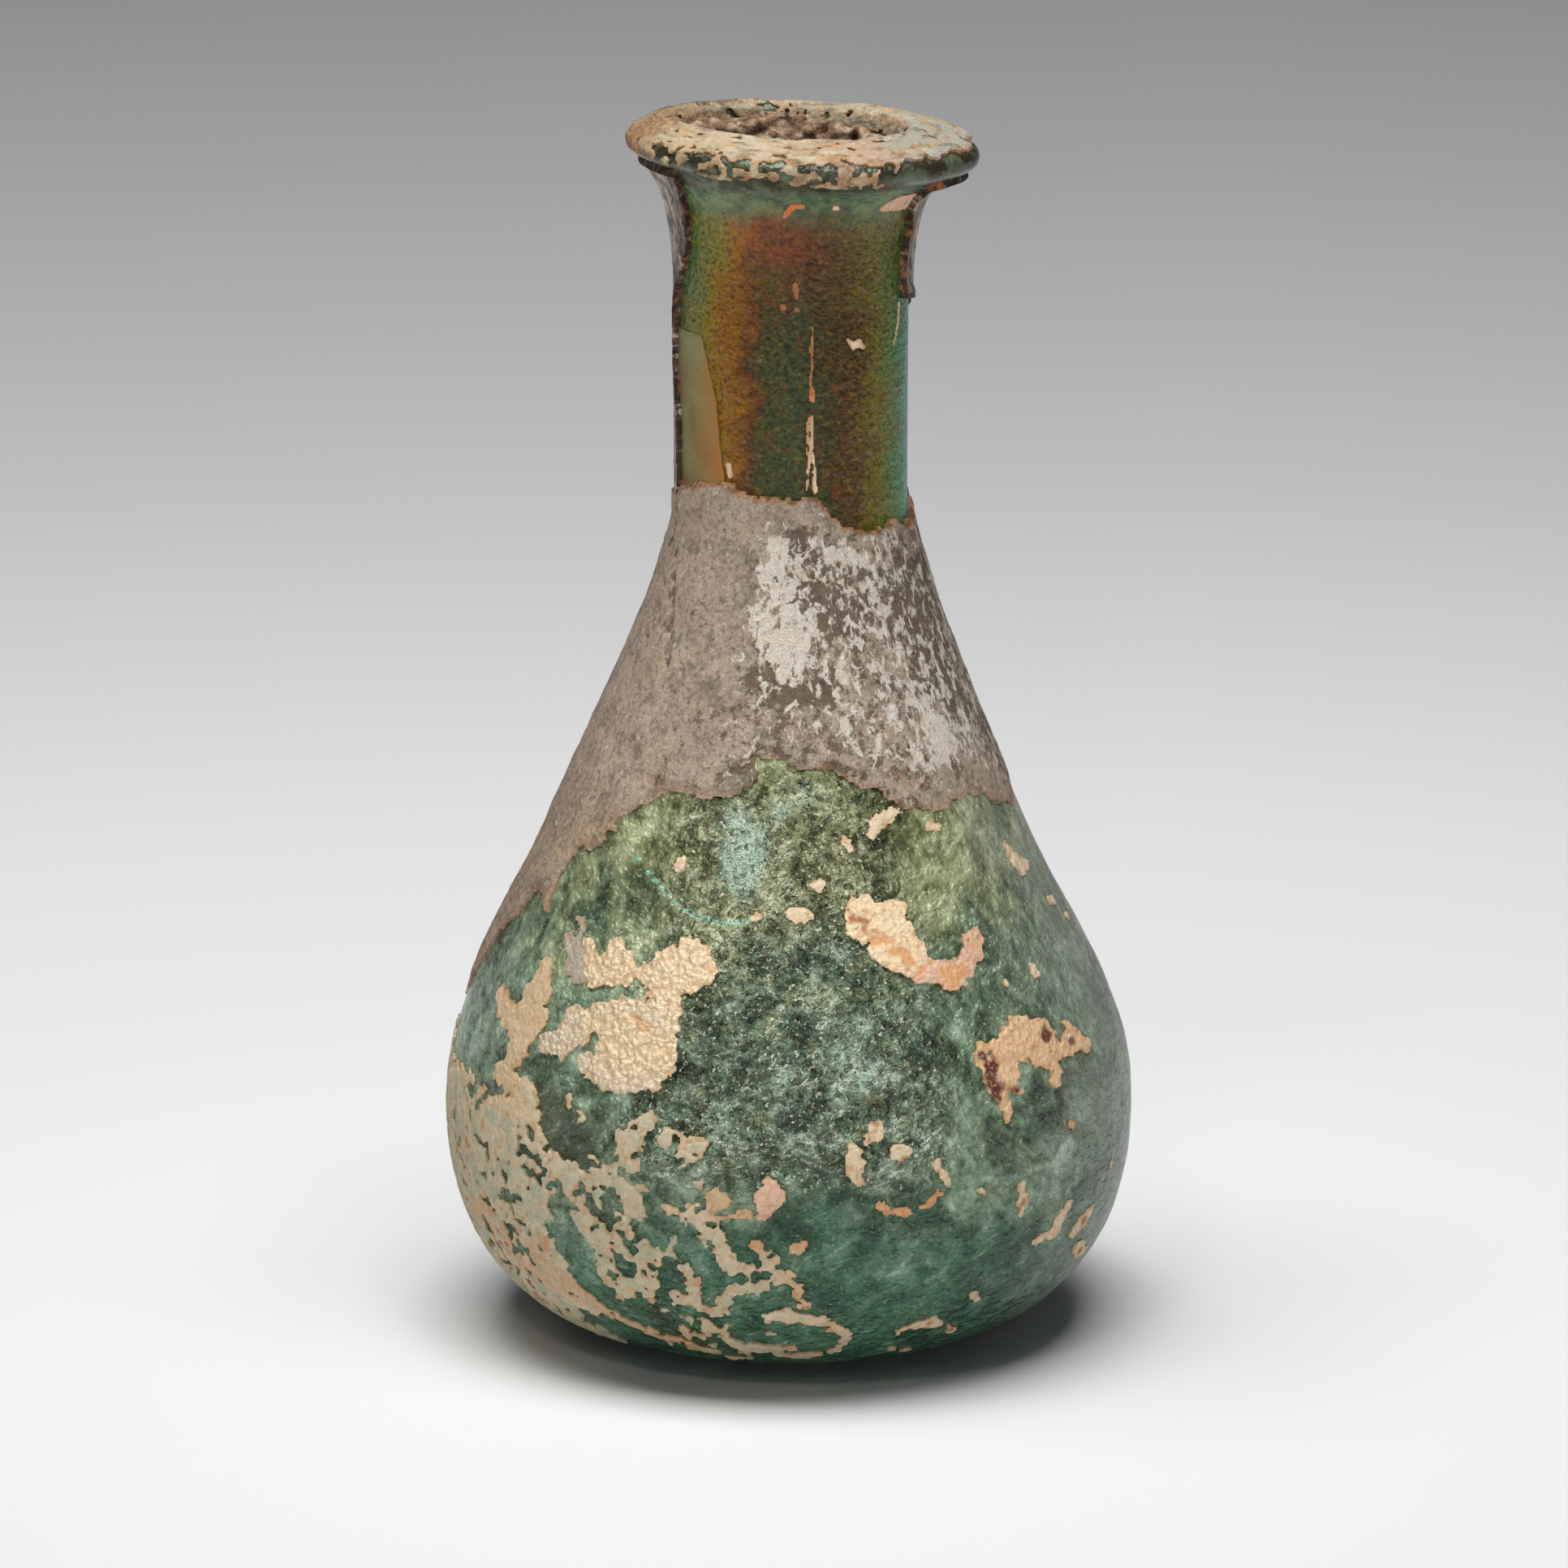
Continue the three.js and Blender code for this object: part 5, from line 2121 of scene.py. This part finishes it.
NECK_FLECKS = (
    *strokes(
        Tone.EMBER,
        ((-4, 94.6, 0.2), (0, 95.6, 0.35), (4, 96.6, 0.25)), ((9, 80.4, 0.2), (9.4, 79.6, 0.3)),
    ),
    *strokes(
        Tone.RUST,
        ((9.5, 85.5, 0.1), (9, 82, 0.12), (8.5, 80.5, 0.1)), ((7.5, 78, 0.1), (6.5, 75, 0.12)),
        ((1, 88.9, 0.3), (1.5, 87.9, 0.15)), ((-5, 87.1, 0.3),), ((1.4, 86.9, 0.25),),
    ),
    *strokes(
        Tone.GILT,
        ((28, 84.3, 0.1), (31, 83.7, 0.3), (34, 83.9, 0.35), (37, 83.5, 0.15)),
        ((66, 86.5, 0.1), (64.5, 84.8, 0.16), (60, 83.2, 0.1)),
        ((6.5, 72, 0.1), (8, 74.4, 0.12), (9, 76, 0.16), (9.3, 78.2, 0.1)),
        ((9, 76, 0.12), (10.4, 74, 0.12), (10.8, 72, 0.2)),
    ),
    *strokes(
        Tone.CREAM,
        ((-33.5, 73.8, 0.3), (-32.8, 73, 0.25)), ((18.5, 95.5, 0.3),),
    ),
    *strokes(Tone.PINK, ((43, 95.2, 0.4), (50, 95.9, 0.9), (58, 96.2, 0.9), (62, 96, 0.5))),
)


# ---- Studio -----------------------------------------------------------------


@dataclass
class Studio:
    """The plain floor, the soft lights and the camera."""

    target: tuple[float, float, float] = (-0.52, 0.0, 45.4)
    eye: tuple[float, float, float] = (-0.52, -630.97, 201.55)
    lens: float = 180.6
    floor_size: float = 6.0
    # Painted light: floor greys by distance in metres from the flask, lighter far off to make up for the
    # lamps' fall-off.
    painted_floor_light: tuple[tuple[float, int], ...] = (
        (0.0, 217), (0.05, 216), (0.107, 212), (0.17, 211), (0.25, 206), (0.34, 202),
        (0.45, 204), (0.59, 212), (0.76, 227),
    )

    def build(self) -> None:
        """Set up the whole studio."""
        scene = bpy.context.scene
        scene.view_settings.view_transform = "Standard"
        self._camera()
        self._floor()
        world = bpy.data.worlds.new("studio_air")
        world.use_nodes = True
        air = world.node_tree.nodes["Background"].inputs
        air["Color"].default_value = (0.98, 0.99, 1.0, 1.0)
        air["Strength"].default_value = 0.045
        scene.world = world
        self._lamp("overhead", (-0.02, -0.06, 0.75), (0.62, 0.34), 7.85)
        self._lamp("spark", (-0.2, -0.5, 0.62), (0.1, 0.07), 0.36)
        self._lamp("window", (-0.22, -0.62, 0.5), (0.2, 0.2), 0.12)
        self._spot("front", (-0.05, -1.2, 0.1), (0.0, 0.0, 0.077), 6.0, 111.0)

    def _camera(self) -> None:
        """Set up the camera."""
        data = bpy.data.cameras.new("camera")
        data.lens, data.sensor_width = self.lens, 36.0
        data.clip_start, data.clip_end = 0.01, 50.0
        eye, target = Vector(self.eye) * METRES, Vector(self.target) * METRES
        bpy.context.scene.camera = self._hang("camera", data, eye, target)

    @staticmethod
    def _hang(name: str, data: bpy.types.ID, place: Vector, aim: Vector) -> bpy.types.Object:
        """Hang a lamp or the camera so that it looks at a point.

        Args:
            name: Its name.
            data: What it is.
            place: Its place in metres.
            aim: The point, in metres.

        Returns:
            The lamp or the camera.
        """
        hung = bpy.data.objects.new(name, data)
        hung.location = place
        hung.rotation_euler = (aim - place).to_track_quat("-Z", "Y").to_euler()
        bpy.context.scene.collection.objects.link(hung)
        return hung

    def _lamp(
        self, name: str, place: Sequence[float], size: tuple[float, float], power: float
    ) -> None:
        """Hang a soft lamp that looks at the middle of the flask.

        Args:
            name: The lamp's name.
            place: Its place in metres.
            size: Its width and height in metres.
            power: Its power in watts.
        """
        data = bpy.data.lights.new(name, "AREA")
        data.shape, data.energy = "RECTANGLE", power
        data.size, data.size_y = size
        self._hang(name, data, Vector(place), Vector(self.target) * METRES)

    def _spot(
        self, name: str, place: Sequence[float], aim: Sequence[float], degrees: float, power: float
    ) -> None:
        """Hang a soft-edged spot that casts no mirror image.

        Args:
            name: The lamp's name.
            place: Its place in metres.
            aim: The point it looks at, in metres.
            degrees: How wide its cone is.
            power: Its power in watts.
        """
        data = bpy.data.lights.new(name, "SPOT")
        data.energy, data.spot_size, data.spot_blend = power, math.radians(degrees), 1.0
        data.shadow_soft_size = 0.08
        self._hang(name, data, Vector(place), Vector(aim)).visible_glossy = False

    def _floor(self) -> None:
        """Lay the floor, which darkens with distance under the lamps; its tone by distance is painted light,
        a little darker out to 0.34 m and lighter far off where the lamps reach less.
        """
        bm = bmesh.new()
        bmesh.ops.create_grid(bm, x_segments=1, y_segments=1, size=self.floor_size / 2)
        mesh = bpy.data.meshes.new("floor")
        bm.to_mesh(mesh)
        bm.free()
        finish = Finish("studio_paper", Roughness=0.9, Specular_IOR_Level=0.1)
        board = finish.board
        place = board.put("TexCoord").outputs["Object"]
        away = board.put("VectorMath", {0: place}, operation="LENGTH").outputs["Value"]
        stops = [(distance, paint(grey, grey, grey)) for distance, grey in self.painted_floor_light]
        finish.feed(Base_Color=board.ramp(away, stops))
        mesh.materials.append(finish.material)
        floor = bpy.data.objects.new("floor", mesh)
        bpy.context.scene.collection.objects.link(floor)


def main() -> None:
    """Build the flask and its layers, then the studio."""
    logging.basicConfig(level=logging.INFO, format="%(name)s %(message)s")
    form = FlaskForm.from_frame(*(Vector(corner) for corner in CAD_BOX))
    effects = Effects()
    crust, flaking = CrustFinish(effects).material, FlakeFinish(effects).material
    crest = form.ends["crest"]
    arc_at = form.arc_at

    Glass(form).build(GlassFinish(effects).material)
    ShoulderCrust(form, low=arc_at(24.0), high=arc_at(74.0)).build(crust)
    NeckSkin(form, low=arc_at(64.0), high=form.ends["underlip"] - 0.3).build(
        SkinFinish(effects).material
    )
    NeckPlate(form, low=arc_at(69.5), high=arc_at(85.2), start=-96.0, end=-28.0).build(
        PlateFinish(effects).material
    )
    Flakes(
        form, low=arc_at(20.5), high=arc_at(39.0), start=-70.0, end=-12.0, cell=0.16,
        thickness=0.2, name="gilt_flakes", patches=GILT_PATCHES, bites=GILT_BITES,
        pebble=0.09, gilt=1.0,
    ).build(flaking)
    Flakes(
        form, low=arc_at(19.0), high=arc_at(39.5), start=-72.0, end=-40.0, cell=0.16,
        thickness=0.18, name="beige_flakes", patches=BEIGE_PATCHES, bites=GILT_BITES,
        gilt=0.35,
    ).build(flaking)
    Flakes(
        form, low=arc_at(21.0), high=arc_at(42.5), start=10.0, end=70.0, cell=0.16,
        thickness=0.24, name="right_flakes", patches=RIGHT_PATCHES, bites=GILT_BITES,
        stains=STAINS, pebble=0.07, gilt=0.5,
    ).build(flaking)
    Flakes(
        form, low=arc_at(1.6), high=arc_at(49.0), start=-32.0, end=86.0, cell=0.18,
        thickness=0.18, name="small_flakes", patches=SMALL_PATCHES,
        stains=SMALL_STAINS, chip=0.55, chipped=0.8, gilt=0.4,
    ).build(flaking)
    Flakes(
        form, low=arc_at(71.0), high=form.ends["underlip"] - 0.2, start=-40.0, end=72.0,
        cell=0.13, thickness=0.12, name="neck_flecks", patches=NECK_FLECKS, chip=0.3,
        chipped=0.35, ragged=0.06, pebble=0.02, gilt=0.5, least=6,
    ).build(flaking)
    HeelCrust(
        form, low=arc_at(0.9), high=arc_at(30.0), start=-92.0, end=16.0, cell=0.2,
        thickness=0.2, name="heel_crust", patches=LACE, bites=LACE_BITES, ragged=0.42, gilt=0.12,
    ).build(flaking)
    HeelCrust(
        form, low=arc_at(0.9), high=arc_at(38.0), start=98.0, end=276.0, cell=0.28,
        thickness=0.17, name="back_crust", patches=strokes(Tone.CREAM, ((150, 34, 1.5),)),
        ragged=0.2, gilt=0.15, front=False,
    ).build(flaking)
    LipCrust(form, low=crest - 7.0, high=crest + 2.2).build(flaking)
    MouthSoil(form, low=crest + 0.5, high=crest + 17.0).build(SoilFinish(effects).material)
    Studio().build()


if __name__ == "__main__":
    main()
